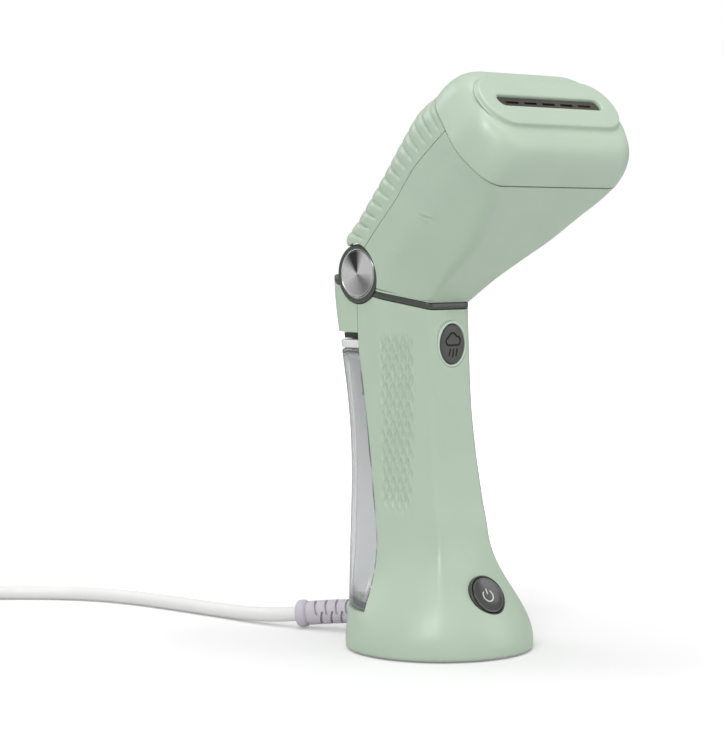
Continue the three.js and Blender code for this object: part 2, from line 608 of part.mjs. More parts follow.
// ------------------------------------------------------------------- controls
const steamBody = new THREE.Group();
frontButton.add(steamBody);
add(frontButton, "steam_bezel", cut(
  oval(STEAM_HALF.map((r) => r + STEAM_BEZEL), -3.4, 0.7),
  oval(STEAM_HALF.map((r) => r + GAP), -10, 4)), GREEN);
const stemLength = 1.8;
add(steamBody, "steam_button", join(
  oval(STEAM_HALF, STEAM_PROUD - STEAM_DEPTH, STEAM_PROUD - 0.2),
  oval(STEAM_HALF.map((r) => r - 0.8), -2, STEAM_PROUD),
  rod("z", 1.6, STEAM_PROUD - STEAM_DEPTH - stemLength, 0, [0, 0], 12)), DARK);
const switchTop = STEAM_PROUD - STEAM_DEPTH - stemLength - GAP - STEAM_TRAVEL;
const boardLocal = -(BOARD_FACE_Y - frontAt(STEAM_Z));
add(frontButton, "steam_switch", box([-3.2, -3.2, boardLocal + GAP], [3.2, 3.2, switchTop]), DARK);
function springRing(group, name, radius, from, to) {
  const ring = new THREE.Shape().absarc(0, 0, radius + 0.8, 0, 2 * Math.PI);
  ring.holes.push(new THREE.Path().absarc(0, 0, radius, 0, 2 * Math.PI, true));
  add(group, name, slab(ring, from, to, 6), STEEL);
}
springRing(frontButton, "steam_spring", 4.9, boardLocal + GAP, STEAM_PROUD - STEAM_DEPTH - GAP);

const powerBody = new THREE.Group();
powerButton.add(powerBody);
add(powerButton, "power_rim", cut(
  rod("z", POWER_RADIUS + POWER_RIM, -3.6, 0.6, [0, 0], 24),
  rod("z", POWER_RADIUS + GAP, -10, 4, [0, 0], 24)), DARK);
add(powerBody, "power_button", join(
  rod("z", POWER_RADIUS, POWER_PROUD - POWER_DEPTH, POWER_PROUD - 0.5, [0, 0], 24),
  rod("z", POWER_RADIUS - 0.9, 0, POWER_PROUD, [0, 0], 24),
  rod("z", 1.8, POWER_PROUD - POWER_DEPTH - 2, 0, [0, 0], 12)), DARK);
const POWER_SWITCH_DEPTH = 10;
const powerSwitchTop = POWER_PROUD - POWER_DEPTH - 2 - GAP - POWER_TRAVEL;
add(powerButton, "power_switch",
  box([-7, -6, powerSwitchTop - POWER_SWITCH_DEPTH], [7, 6, powerSwitchTop]), DARK);
// A bracket on the base plate carries the power switch.
const bracketTop = POWER_Z - 3;
const switchUnder = frontAt(POWER_Z) + 9;
add(handle, "switch_bracket", cut(
  box([-9, switchUnder - 4, BASE_PLATE[1] + GAP], [9, switchUnder + 15, bracketTop]),
  box([-6.5, switchUnder - 5, BASE_PLATE[1] + 3], [6.5, switchUnder + 12, bracketTop - 3]),
  inGroup(powerButton, box([-7 - GAP, -6 - GAP, powerSwitchTop - POWER_SWITCH_DEPTH - GAP], [7 + GAP, 6 + GAP, 20]))), DARK);

// ----------------------------------------------------------------- water tank
const tankBody = new THREE.Group();
steamer.add(tankBody);
const tankFront = TANK_SIDE_GAP;
const tankZone = behindTankPlane(tankFront, TANK_BOTTOM + SEAM, TANK_TOP);
const tankOuter = common(handleOuter, tankZone);
const tankCavity = common(
  handleLoft(TANK_WALL, 5, 170),
  behindTankPlane(tankFront + TANK_WALL, TANK_BOTTOM + SEAM + TANK_WALL, TANK_TOP - TANK_WALL),
);
const STOPPER_GAP = 0.8;     // room for the stopper to swing out
const stopperHole = rod("y", STOPPER_RADIUS - 1.6 + STOPPER_GAP, 35, 80, [0, STOPPER_Z]);
const valveHole = rod("y", VALVE_RADIUS + GAP, 0, tankPlaneAt(VALVE_Z) + 4, [0, VALVE_Z]);
const stopperY = rearAt(STOPPER_Z);
const stopperPocket = rod("y", STOPPER_RADIUS + 0.5, stopperY - 0.9, stopperY + 20, [0, STOPPER_Z]);
add(tankBody, "water_tank", cut(tankOuter, tankCavity, stopperHole, stopperPocket, valveHole), CLEAR);
const capOuter = common(handleOuter, behindTankPlane(tankFront, TANK_TOP + GAP, TANK_TOP + GAP + TANK_CAP_THICKNESS));
add(tankBody, "tank_cap", capOuter, PALE);
add(tankBody, "tank_valve", rod("y", VALVE_RADIUS, tankPlaneAt(VALVE_Z) - 0.8, tankPlaneAt(VALVE_Z) + 7.5, [0, VALVE_Z], 20), GREY);
const stopper = new THREE.Group();
stopper.position.set(0, stopperY, STOPPER_Z - STOPPER_RADIUS);
tankBody.add(stopper);
add(stopper, "tank_stopper", join(
  rod("y", STOPPER_RADIUS, -0.6, 0.5, [0, STOPPER_RADIUS], 24),
  rod("y", STOPPER_RADIUS - 1.6, -2.8, 0, [0, STOPPER_RADIUS], 24)), GREY);
const latchZ = TANK_TOP + TANK_CAP_THICKNESS + 2 * GAP;
const latchRear = rearAt(latchZ);
const latch = new THREE.Group();
handle.add(latch);
const latchDepth = 12;
add(latch, "tank_latch", common(
  handleLoft(0, 100, 170),
  box([-LATCH_HALF, latchRear - latchDepth, latchZ], [LATCH_HALF, 80, latchZ + LATCH_HEIGHT])), DARK);
const latchSpringY = [REAR_COVER_FRONT + 3, latchRear - latchDepth - GAP];
springY("tank_latch_spring", 1.2, latchSpringY, latchZ + LATCH_HEIGHT / 2);

function springY(name, radius, span, z) {
  add(handle, name, rod("y", radius, ...span, [0, z], 10), STEEL);
}

// ----------------------------------------------------------------- steam head
const head = new THREE.Group();
steamer.add(head);
const SHELL_END = -CAP_DEPTH;
const headOuter = cut(headLoft(0, 0, SHELL_END), ringSpace(), behindHeel());
const headCavity = headLoft(WALL, WALL + 0.6, SHELL_END + 1);
add(head, "head_shell", cut(headOuter, headCavity, behindBackSeam(-SEAM / 2)), GREEN);
add(head, "head_back_cover", cut(common(headOuter, behindBackSeam(SEAM / 2)), headCavity), GREEN);

// Steam cap: the joint section bulges into the flat face, with a raised plateau.
function capLoft(inset, from, to) {
  const steps = [0, 0.35, 0.6, 0.8, 0.93, 1];
  const rings = steps.map((share) => {
    const z = lerp(from, to, share);
    const drop = 1 - Math.sqrt(1 - Math.pow(share, CAP_ROUND));
    return capRing(z, inset, CAP_FRONT_SCALE.map((scale) => lerp(1, scale, drop)));
  });
  return loft(rings);
}
const landZ = -PLATEAU_HEIGHT;
const toHead = new THREE.Matrix4().makeRotationX(Math.PI / 2 - FACE_TILT).setPosition(...FACE_CENTRE);
const onFace = (geometry) => geometry.applyMatrix4(toHead);
const plateau = onFace(join(
  slab(stadium(...PLATEAU_HALF, PLATEAU_CORNER), landZ - 3, -1),
  slab(stadium(...PLATEAU_HALF, PLATEAU_CORNER, 1), landZ - 3, 0)));
const slotShape = stadium(SLOT_LENGTH / 2, SLOT_WIDTH / 2, SLOT_WIDTH / 2);
add(head, "steam_cap", cut(
  join(capLoft(0, SHELL_END + SEAM, landZ), plateau),
  capLoft(WALL, SHELL_END - 1, landZ - WALL),
  onFace(slab(slotShape, -12, 4, 5))), GREEN);

// Boiler stack behind the slot, all in the face frame.
const STRIP_DEPTH = 1.6;
const BOILER_HALF = [34, 13];
const BOILER_Z = [-27, -10.5];
const stack = new THREE.Group();
stack.applyMatrix4(toHead);
head.add(stack);
const stripShape = stadium(SLOT_LENGTH / 2 - GAP, SLOT_WIDTH / 2 - GAP, 3);
const stripSlots = [-2, -1, 0, 1, 2].map((k) => box([11.4 * k - 4, -0.7, -10], [11.4 * k + 4, 0.7, 4]));
add(stack, "nozzle_strip", cut(slab(stripShape, -STRIP_DEPTH - 1.5, -1.5, 5), ...stripSlots), STEEL);
const ductFrom = BOILER_Z[1] + GAP;
const ductTo = -STRIP_DEPTH - 1.5 - GAP;
add(stack, "steam_duct", cut(
  slab(stadium(SLOT_LENGTH / 2 - 1, SLOT_WIDTH / 2 - GAP, 2.5), ductFrom, ductTo, 4),
  box([-26, -1.6, ductFrom - 1], [26, 1.6, ductTo + 1])), SILICONE);
add(stack, "boiler_block", cut(
  box([-BOILER_HALF[0], -BOILER_HALF[1], BOILER_Z[0] + 4], [BOILER_HALF[0], BOILER_HALF[1], BOILER_Z[1]]),
  box([-26, -1.6, BOILER_Z[0] + 8], [26, 1.6, BOILER_Z[1] + 1]),
  box([-28, -9, BOILER_Z[0]], [28, 9, BOILER_Z[0] + 12])), ALUMINIUM);
add(stack, "boiler_lid", join(
  box([-BOILER_HALF[0], -BOILER_HALF[1], BOILER_Z[0] + 1], [BOILER_HALF[0], BOILER_HALF[1], BOILER_Z[0] + 4 - GAP]),
  rod("z", 3, BOILER_Z[0] - 3, BOILER_Z[0] + 2, [-20, 0], 14)), ALUMINIUM);
const HEATER = { radius: 3, half: 22 };
add(stack, "heating_element", tube([
  [-HEATER.half, 5.2, BOILER_Z[0] + 7.6], [0, 5.2, BOILER_Z[0] + 7.6], [HEATER.half - 2, 5, BOILER_Z[0] + 7.6],
  [HEATER.half + 2, 0, BOILER_Z[0] + 7.6], [HEATER.half - 2, -5, BOILER_Z[0] + 7.6], [0, -5.2, BOILER_Z[0] + 7.6],
  [-HEATER.half, -5.2, BOILER_Z[0] + 7.6]], [HEATER.radius, HEATER.radius], 8, 22), STEEL);
add(stack, "thermostat", rod("z", 7, BOILER_Z[0] - 6, BOILER_Z[0] + 1 - GAP, [4, 0], 24), DARK);
add(stack, "thermal_fuse", rod("x", 2, 14, 28, [0, BOILER_Z[0] + 1 - GAP - 2], 12), PALE);

// Two bulkheads shaped to the head's inside: one carries the boiler, the other
// is the hinge yoke's and closes the head's lower end.
const fitLoft = headLoft(WALL + GAP, WALL + 0.6 + GAP, SHELL_END + 0.6);
const BRACKET_Z = [BOILER_Z[0] - 2, BOILER_Z[0] - 0.3 + 1 - GAP];
const bracket = common(
  fitLoft,
  onFace(box([-80, -80, BRACKET_Z[0]], [80, 80, BRACKET_Z[1]])));
add(head, "boiler_bracket", cut(bracket, onFace(box([-30, -9, -80], [30, 9, 20]))), DARK);

const yokeDirection = degToRad(143);
const yokeFrame = new THREE.Matrix4().makeRotationX(yokeDirection).setPosition(0, ...HINGE_AXIS);
const inYoke = (geometry) => geometry.applyMatrix4(yokeFrame);
const cupGap = cupInner - GAP;
const YOKE_PLATE = [30, 32.6];
const yokeArm = inYoke(box([-8, 2, -5], [8, YOKE_PLATE[0] + 1, 0]));
const yokePlate = common(fitLoft, inYoke(box([-60, YOKE_PLATE[0], -60], [60, YOKE_PLATE[1], 60])));
const hoseHole = inYoke(rod("y", HOSE_RADIUS + 1, 10, 60, [0, 6], 12));
add(head, "hinge_yoke", cut(
  join(rod("x", HINGE_BARREL_RADIUS, -cupGap, cupGap, HINGE_AXIS, 28), yokeArm, yokePlate),
  rod("x", HINGE_PIN_RADIUS + GAP, -60, 60, HINGE_AXIS, 20),
  hoseHole), DARK);
const yokePoint = (y, z, x = 0) => new THREE.Vector3(x, y, z).applyMatrix4(yokeFrame).toArray();
const inletEnd = new THREE.Vector3(-20, 0, BOILER_Z[0] - 3 - GAP).applyMatrix4(toHead).toArray();
const inletBend = new THREE.Vector3(-20, 0, BOILER_Z[0] - 8).applyMatrix4(toHead).toArray();
add(head, "head_hose", tube([
  yokePoint(10.4, 6), yokePoint(24, 6), yokePoint(38, 6), yokePoint(46, 7, -6), inletBend, inletEnd],
[HOSE_RADIUS, HOSE_RADIUS], 8, 16), SILICONE);

// ------------------------------------------------------- cord, relief and plug
const cordStart = CORD_POINTS[0];
const reliefPath = [
  [0, 38, CORD_EXIT_Z], [0, 46, CORD_EXIT_Z], [-2.6, 56, 10.2], [-8, 68.5, 9], [...cordStart.slice(0, 2), cordStart[2] + 0.15],
];
const reliefBody = tube(reliefPath,
  [RELIEF_RADIUS[0], RELIEF_RADIUS[0], ...Array(9).fill(RELIEF_RADIUS[1]), RELIEF_COLLAR, RELIEF_COLLAR], 12, 12);
add(handle, "strain_relief", reliefBody, MAUVE);
const CLAMP = { half: 10, from: 26, to: 38 - GAP, top: 17 };
add(handle, "cord_clamp", cut(
  box([-CLAMP.half, CLAMP.from, BASE_PLATE[1] + GAP], [CLAMP.half, CLAMP.to, CLAMP.top]),
  rod("z", BOSS_RADIUS + 2, 0, 30, screwPlaces[0].map(Math.abs), 16),
  rod("y", CORD_RADIUS + GAP, 0, 60, [0, CORD_EXIT_Z], 12)), DARK);
[-1, 1].forEach((side) => {
  const label = side < 0 ? "live" : "neutral";
  const backOfSwitch = switchUnder + 15 + 2 * GAP;
  add(handle, `lead_${label}`, tube([
    [5 * side, CLAMP.from - GAP, CORD_EXIT_Z], [6 * side, 16, 9], [6 * side, 2, 11], [6 * side, backOfSwitch + 2, 12], [6 * side, backOfSwitch, 12]],
  [1.1, 1.1], 6, 8), side < 0 ? COPPER_RED : BLUE);
});

function cordTube(name, points, steps) {
  const path = new THREE.CatmullRomCurve3(points.map((point) => new THREE.Vector3(...point)));
  const section = new THREE.Shape().absarc(0, 0, CORD_RADIUS, 0, 2 * Math.PI);
  const geometry = new THREE.ExtrudeGeometry(section, { steps, extrudePath: path, curveSegments: 4, bevelEnabled: false });
  add(steamer, name, geometry, CORD_WHITE);
}

// The cord runs into the coil along a tangent, and out again towards the plug.
const turnOut = COIL_RADIUS + (COIL_COLUMNS - 1) * CORD_RADIUS;
const coilOuter = COIL_RADIUS + COIL_COLUMNS * CORD_RADIUS;
const coilInner = COIL_RADIUS - COIL_COLUMNS * CORD_RADIUS;
const clearOfCoil = Math.sqrt((coilOuter + CORD_RADIUS + GAP) ** 2 - turnOut ** 2);
const endOut = [Math.cos(COIL_END_ANGLE), Math.sin(COIL_END_ANGLE)];
const endAlong = [-endOut[1], endOut[0]];
const tailPoint = (run, z) => [
  COIL_CENTRE[0] + turnOut * endOut[0] + run * endAlong[0],
  COIL_CENTRE[1] + turnOut * endOut[1] + run * endAlong[1], z];
cordTube("power_cord", CORD_POINTS.map((point, i) => (i ? point : [point[0] - 0.2, point[1] + 0.4, point[2]])), 34);
const coilHeight = 2 * CORD_RADIUS * COIL_LAYERS;
const CHAMFER = 2;
const ringProfile = [
  [coilInner + CHAMFER, 0], [coilOuter - CHAMFER, 0], [coilOuter, CHAMFER], [coilOuter, coilHeight - CHAMFER],
  [coilOuter - CHAMFER, coilHeight], [coilInner + CHAMFER, coilHeight], [coilInner, coilHeight - CHAMFER],
  [coilInner, CHAMFER], [coilInner + CHAMFER, 0],
].map(([r, z]) => new THREE.Vector2(r, z));
add(steamer, "cord_coil",
  new THREE.LatheGeometry(ringProfile, 28).rotateX(Math.PI / 2).translate(...COIL_CENTRE, 0.2), CORD_WHITE);
const tailEnd = clearOfCoil + TAIL_LENGTH;
cordTube("cord_tail", [
  tailPoint(clearOfCoil - 0.4, PLUG_Z + 0.4), tailPoint(clearOfCoil + TAIL_LENGTH / 2, PLUG_Z + 0.2), tailPoint(tailEnd, PLUG_Z)], 6);
const plug = new THREE.Group();
plug.position.set(...tailPoint(tailEnd + GAP, PLUG_Z));
plug.rotation.z = Math.atan2(endAlong[1], endAlong[0]) - Math.PI / 2;     // local Y runs on from the cord
steamer.add(plug);
const [plugWidth, plugLength, plugHeight] = PLUG_BODY;
const plugFront = PLUG_NECK + plugLength;
const plugRing = (y, w, h) => sectionOutline(
  { flat: w / 2 - 2, half: w / 2, back: w / 2 - 2, shoulder: h / 2 }, h, [2.5, 4, 2.5], [2, 2, 2], [0, 0, 0, 0])
  .map(([x, z]) => [-x, y, z - h / 2]);
add(plug, "plug_body", loft([
  plugRing(0, 9, 9), plugRing(PLUG_NECK, 12, 11), plugRing(PLUG_NECK + 7, plugWidth, plugHeight),
  plugRing(plugFront - 2, plugWidth, plugHeight), plugRing(plugFront, plugWidth - 2, plugHeight - 2)]), CORD_WHITE);
[-1, 1].forEach((side) => {
  const x = (BLADE_SPACING / 2) * side;
  add(plug, `plug_blade_${side < 0 ? "left" : "right"}`,
    box([x - BLADE[0] / 2, plugFront + GAP, -BLADE[2] / 2], [x + BLADE[0] / 2, plugFront + GAP + BLADE[1], BLADE[2] / 2]), STEEL);
});

export default steamer;
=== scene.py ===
import json
import math

import bmesh
import bpy
import numpy as np
from mathutils import Matrix, Vector

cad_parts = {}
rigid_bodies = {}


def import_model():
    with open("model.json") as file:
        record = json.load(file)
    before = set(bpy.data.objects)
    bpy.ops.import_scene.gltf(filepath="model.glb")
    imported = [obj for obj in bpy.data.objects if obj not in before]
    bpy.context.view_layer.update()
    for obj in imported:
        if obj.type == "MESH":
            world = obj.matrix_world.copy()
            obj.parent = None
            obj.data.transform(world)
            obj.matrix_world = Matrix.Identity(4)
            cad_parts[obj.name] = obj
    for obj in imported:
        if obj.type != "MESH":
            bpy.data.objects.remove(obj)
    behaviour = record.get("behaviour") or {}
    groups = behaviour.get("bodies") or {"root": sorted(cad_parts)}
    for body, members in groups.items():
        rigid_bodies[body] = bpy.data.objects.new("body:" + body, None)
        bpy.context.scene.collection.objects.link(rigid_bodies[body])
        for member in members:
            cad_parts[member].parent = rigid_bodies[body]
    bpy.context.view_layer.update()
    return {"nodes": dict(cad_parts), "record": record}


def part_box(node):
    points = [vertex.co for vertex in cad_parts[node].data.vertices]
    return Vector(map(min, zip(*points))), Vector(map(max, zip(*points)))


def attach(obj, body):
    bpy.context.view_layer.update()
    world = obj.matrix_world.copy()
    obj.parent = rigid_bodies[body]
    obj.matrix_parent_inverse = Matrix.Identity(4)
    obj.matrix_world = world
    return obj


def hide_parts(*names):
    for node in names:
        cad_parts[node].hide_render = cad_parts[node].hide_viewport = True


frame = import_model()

MM = 0.001
scene = bpy.context.scene
scene.view_settings.view_transform = "Standard"

# ------------------------------------------------------------------ camera
camera_data = bpy.data.cameras.new("camera")
camera_data.lens = 110.9
camera_data.sensor_width = 36
camera_data.clip_start = 0.05
camera_data.clip_end = 30
camera = bpy.data.objects.new("camera", camera_data)
scene.collection.objects.link(camera)
camera.location = (-0.72875, -0.77044, 0.19137)
PITCH = math.radians(3.295)
look = Vector((0.6619 * math.cos(PITCH), 0.7496 * math.cos(PITCH), -math.sin(PITCH)))
camera.rotation_euler = look.to_track_quat("-Z", "Y").to_euler()
scene.camera = camera

# -------------------------------------------------------------- dimensions
# The same named sizes as the frame's, in millimetres.
WALL, GAP, SEAM = 2.0, 0.3, 0.4
BASE_RADIUS = 44.0
FLARE_START, FLARE_HEIGHT, FLARE_POWER = 4.0, 58.0, 1.35
HANDLE_KEYS = ("front", "rear", "flat", "half", "shoulder")
HANDLE_Z = (0, 40, 56, 70, 93, 116, 140, 165, 190)
HANDLE = {
    "front": (-18, -17.8, -17.2, -14.4, -11.2, -9.3, -8.2, -6, -4),
    "rear": (43, 42.2, 42, 42.2, 43.2, 46, 50.2, 53.8, 55),
    "flat": (15.5, 15.5, 15.5, 15, 13.4, 12, 11.6, 12.6, 13),
    "half": (26.5, 25.5, 25, 24.4, 23.6, 23.2, 23.4, 24, 24),
    "shoulder": (12, 12.5, 13, 14, 15, 15.5, 16, 16, 16),
}
HANDLE_ROUND = (3.2, 14, 11)
PARTING_Z, PARTING_ANGLE, TRIM = 159.8, math.radians(12.2), 2.8
HINGE_Y, HINGE_Z = 30.0, 174.9
RING_RADIUS, DISC_RADIUS = 13.9, 11.0
HEEL_ANGLE = math.radians(64)
RING_CLEARANCE = 0.4
HEAD = [
    ((-6.6, 161.8), (44.4, 172.7), 12.8, 24.2, 24.2, 0.42, (2.8, 14, 9)),
    ((-20.2, 171.7), (43.6, 188.8), 16.4, 27.6, 25.4, 0.40, (5, 16, 10)),
    ((-35.2, 181), (31.9, 201.7), 20.2, 31.4, 27, 0.39, (7, 18, 12)),
    ((-49.8, 190.3), (14.2, 219.4), 25, 36, 29.8, 0.37, (9, 20, 14)),
    ((-61, 200), (-4.3, 236), 31, 41.4, 35.2, 0.35, (10, 22, 16)),
    ((-70.2, 208), (-21, 250.2), 36.7, 45.8, 39.4, 0.34, (11, 24, 18)),
]
FACE_CENTRE = (0.0, -70.5, 251.3)
FACE_TILT = math.radians(43)
CAP_DEPTH = 23.0
CAP_LOW, CAP_HIGH, CAP_FLAT, CAP_HALF, CAP_BACK, CAP_SHOULDER = -30.3, 28.2, 41.6, 49.0, 41.5, 0.34
CAP_R = (12, 26, 19)
CAP_SCALE, CAP_ROUND = (0.84, 0.6), 2.3
PLATEAU = (41.5, 14.2, 13.4, 2.4)
SLOT = (64.5, 6.2)
BACK_SEAM = [(40, 174), (24.5, 185.6), (6, 199.8), (-5.3, 210.2), (-15.3, 218.2),
             (-30, 226.8), (-53.7, 238.7), (-90, 256)]
TANK_Y, TANK_LEAN = 6.2, math.radians(9.9)
TANK_BOTTOM, TANK_TOP, BAY_TOP, REAR_COVER_FRONT = 19.0, 139.6, 147.0, 31.0
TANK_WALL, TANK_SIDE_GAP = 1.8, 0.5
STOPPER_Z = 122.0
STEAM_Z, STEAM_HALF, STEAM_BEZEL = 142.5, (7.7, 9.2), 1.5
POWER_Z, POWER_TILT, POWER_R, POWER_RIM = 28.0, math.radians(31), 8.8, 1.1
CORD_R, CORD_EXIT_Z = 3.6, 11.5
COIL_CENTRE, COIL_R, COIL_END_ANGLE = (-146.0, 254.0), 38.0, math.radians(185)


def interp(xs, ys, x):
    """Smooth interpolation through the rows, without overshoot."""
    xs, ys = np.asarray(xs, float), np.asarray(ys, float)
    x = np.clip(x, xs[0], xs[-1])
    slopes = np.diff(ys) / np.diff(xs)
    m = np.zeros(len(xs))
    for i in range(1, len(xs) - 1):
        a, b = slopes[i - 1], slopes[i]
        m[i] = 0 if a * b <= 0 else 2 * a * b / (a + b)
    m[0], m[-1] = slopes[0], slopes[-1]
    i = np.clip(np.searchsorted(xs, x) - 1, 0, len(xs) - 2)
    h = xs[i + 1] - xs[i]
    t = (x - xs[i]) / h
    return ((2 * t**3 - 3 * t**2 + 1) * ys[i] + (t**3 - 2 * t**2 + t) * h * m[i]
            + (-2 * t**3 + 3 * t**2) * ys[i + 1] + (t**3 - t**2) * h * m[i + 1])


def ease(t):
    """A soft step from 0 to 1."""
    return t * t * (3 - 2 * t)


def section(flat, half, back, shoulder, depth, radii, arc=14):
    """One side of a housing's outline, from the front centre (0, 0) to the rear centre (0, depth)."""
    corners = [(flat, 0.0), (half, shoulder), (back, depth)]
    chain = [(0.0, 0.0)] + corners + [(0.0, depth)]
    side = [(0.0, 0.0)]
    for i, corner in enumerate(corners):
        at = np.array(corner)
        before, after = np.array(chain[i]) - at, np.array(chain[i + 2]) - at
        lb, la = np.linalg.norm(before), np.linalg.norm(after)
        turn = math.pi - math.acos(max(-1.0, min(1.0, float(before @ after) / (lb * la))))
        radius = min(radii[i], 0.48 * min(lb, la) / max(math.tan(turn / 2), 1e-6))
        tangent = radius * math.tan(turn / 2)
        start, end = at + before / lb * tangent, at + after / la * tangent
        inward = before / lb + after / la
        centre = at + inward / np.linalg.norm(inward) * radius / math.cos(turn / 2)
        a0 = math.atan2(start[1] - centre[1], start[0] - centre[0])
        sweep = math.atan2(end[1] - centre[1], end[0] - centre[0]) - a0
        sweep = math.atan2(math.sin(sweep), math.cos(sweep))
        for k in range(arc + 1):
            a = a0 + sweep * k / arc
            side.append((centre[0] + radius * math.cos(a), centre[1] + radius * math.sin(a)))
    side.append((0.0, depth))
    return np.array(side)


def handle_side(z, inset=0.0):
    """The +X side of the handle's outline at a height, front centre to rear centre."""
    row = {k: float(interp(HANDLE_Z, HANDLE[k], z)) for k in HANDLE_KEYS}
    front = row["front"] + inset
    pts = section(row["flat"] - 0.55 * inset, row["half"] - inset, row["half"] - inset,
                  row["shoulder"] - front, row["rear"] - inset - front,
                  [max(r - 0.5 * inset, 1) for r in HANDLE_ROUND])
    share = min(max((z - FLARE_START) / FLARE_HEIGHT, 0), 1)
    share = math.cos(math.pi / 2 * share) ** (2 * FLARE_POWER)
    pts = resample(pts, 240)
    y = pts[:, 1] + front
    angle = np.arctan2(y, pts[:, 0])
    ring = BASE_RADIUS - inset
    return np.stack([pts[:, 0] * (1 - share) + ring * np.cos(angle) * share,
                     y * (1 - share) + ring * np.sin(angle) * share], 1)


def resample(points, count):
    """count points at even arc length along a polyline."""
    points = np.asarray(points, float)
    step = np.linalg.norm(np.diff(points, axis=0), axis=1)
    keep = np.concatenate([[True], step > 1e-9])
    points = points[keep]
    length = np.concatenate([[0], np.cumsum(np.linalg.norm(np.diff(points, axis=0), axis=1))])
    at = np.linspace(0, length[-1], count)
    return np.stack([np.interp(at, length, points[:, k]) for k in range(points.shape[1])], 1)


def clip_below(points, value):
    """The start of a polyline, up to where value(point) first rises past zero."""
    points = np.asarray(points, float)
    v = np.array([value(p) for p in points])
    for i in range(1, len(points)):
        if v[i] >= 0 > v[i - 1]:
            t = -v[i - 1] / (v[i] - v[i - 1])
            return np.vstack([points[:i], points[i - 1] + t * (points[i] - points[i - 1])])
    return points


def clip_above(points, value):
    return clip_below(np.asarray(points)[::-1], lambda p: -value(p))[::-1]


def both_sides(side):
    """From the -X end of a half outline through its start to the +X end."""
    mirrored = side[::-1].copy()
    mirrored[:, 0] *= -1
    return np.vstack([mirrored[:-1], side])


# ----------------------------------------------------------------- meshes
def new_object(name, verts, faces, smooth=True):
    mesh = bpy.data.meshes.new(name)
    mesh.from_pydata([tuple(v) for v in verts], [], [tuple(f) for f in faces])
    mesh.update()
    obj = bpy.data.objects.new(name, mesh)
    scene.collection.objects.link(obj)
    for polygon in mesh.polygons:
        polygon.use_smooth = smooth
    return obj


def grid(name, rows, closed=False, caps=(False, False)):
    """A sheet of quads through rows of equal point counts, in millimetres."""
    rows = [np.asarray(r, float) for r in rows]
    n = len(rows[0])
    verts = np.vstack(rows) * MM
    faces = []
    span = n if closed else n - 1
    for r in range(len(rows) - 1):
        for i in range(span):
            a, b = r * n + i, r * n + (i + 1) % n
            faces.append((a, b, b + n, a + n))
    if caps[0]:
        faces.append(tuple(range(n - 1, -1, -1)))
    if caps[1]:
        faces.append(tuple(range((len(rows) - 1) * n, len(rows) * n)))
    return new_object(name, verts, faces)


def apply_all(obj):
    """Freezes the modifiers into the mesh."""
    depsgraph = bpy.context.evaluated_depsgraph_get()
    mesh = bpy.data.meshes.new_from_object(obj.evaluated_get(depsgraph))
    obj.modifiers.clear()
    obj.data = mesh
    return obj


def face_outwards(obj):
    """Turns an open sheet's faces away from its middle."""
    mesh = obj.data
    middle = sum((v.co for v in mesh.vertices), Vector()) / len(mesh.vertices)
    if sum(p.area * p.normal.dot(p.center - middle) for p in mesh.polygons) < 0:
        mesh.flip_normals()
    return obj


def thicken(obj):
    """Turns an open outer sheet into a housing wall, inwards from the sheet."""
    face_outwards(recalc(obj))
    solid = obj.modifiers.new("wall", "SOLIDIFY")
    solid.thickness = WALL * MM
    solid.offset = -1
    solid.use_even_offset = True
    solid.use_quality_normals = True
    return recalc(apply_all(obj))


def boolean(obj, cutter, operation="DIFFERENCE"):
    mod = obj.modifiers.new("cut", "BOOLEAN")
    mod.operation = operation
    mod.solver = "MANIFOLD"
    mod.object = cutter
    apply_all(obj)
    bpy.data.objects.remove(cutter)
    return obj


def smooth_by_angle(obj, degrees=38):
    mesh = obj.data
    bm = bmesh.new()
    bm.from_mesh(mesh)
    limit = math.radians(degrees)
    for edge in bm.edges:
        edge.smooth = not (len(edge.link_faces) == 2 and edge.calc_face_angle(0) > limit)
    for face in bm.faces:
        face.smooth = True
    bm.to_mesh(mesh)
    bm.free()
    return obj


def recalc(obj):
    bm = bmesh.new()
    bm.from_mesh(obj.data)
    bmesh.ops.remove_doubles(bm, verts=bm.verts, dist=2e-7)
    bmesh.ops.recalc_face_normals(bm, faces=bm.faces)
    bm.to_mesh(obj.data)
    bm.free()
    return obj


def circle_rows(profile, steps):
    """Circles about local Z, one for each (radius, height) pair."""
    return [[(r * math.cos(2 * math.pi * k / steps), r * math.sin(2 * math.pi * k / steps), z)
             for k in range(steps)] for r, z in profile]


def turned(name, profile, steps=96, matrix=None):
    """A turned solid: profile is (radius, height) pairs about local Z, in millimetres."""
    obj = recalc(grid(name, circle_rows(profile, steps), closed=True, caps=(True, True)))
    if matrix is not None:
        obj.data.transform(matrix)
    return obj


def hoop(name, profile, steps, matrix):
    """A turned ring, whose profile closes on itself."""
    obj = recalc(grid(name, circle_rows(profile + profile[:1], steps), closed=True))
    obj.data.transform(matrix)
    return obj


def frame_matrix(origin, z_axis, x_axis=(1, 0, 0)):
    z = Vector(z_axis).normalized()
    x = Vector(x_axis)
    x = (x - z * x.dot(z)).normalized()
    y = z.cross(x)
    m = Matrix((x, y, z)).transposed().to_4x4()
    m.translation = Vector(origin) * MM
    return m


def ride(obj, body, slot, *nodes):
    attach(obj, body)
    if nodes:
        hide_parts(*nodes)
    return obj


# -------------------------------------------------------------- materials
def shader(name):
    material = bpy.data.materials.new(name)
    material.use_nodes = True
    nodes, links = material.node_tree.nodes, material.node_tree.links
    nodes.clear()
    out = nodes.new("ShaderNodeOutputMaterial")
    bsdf = nodes.new("ShaderNodeBsdfPrincipled")
    links.new(bsdf.outputs[0], out.inputs[0])
    return material, nodes, links, bsdf, out


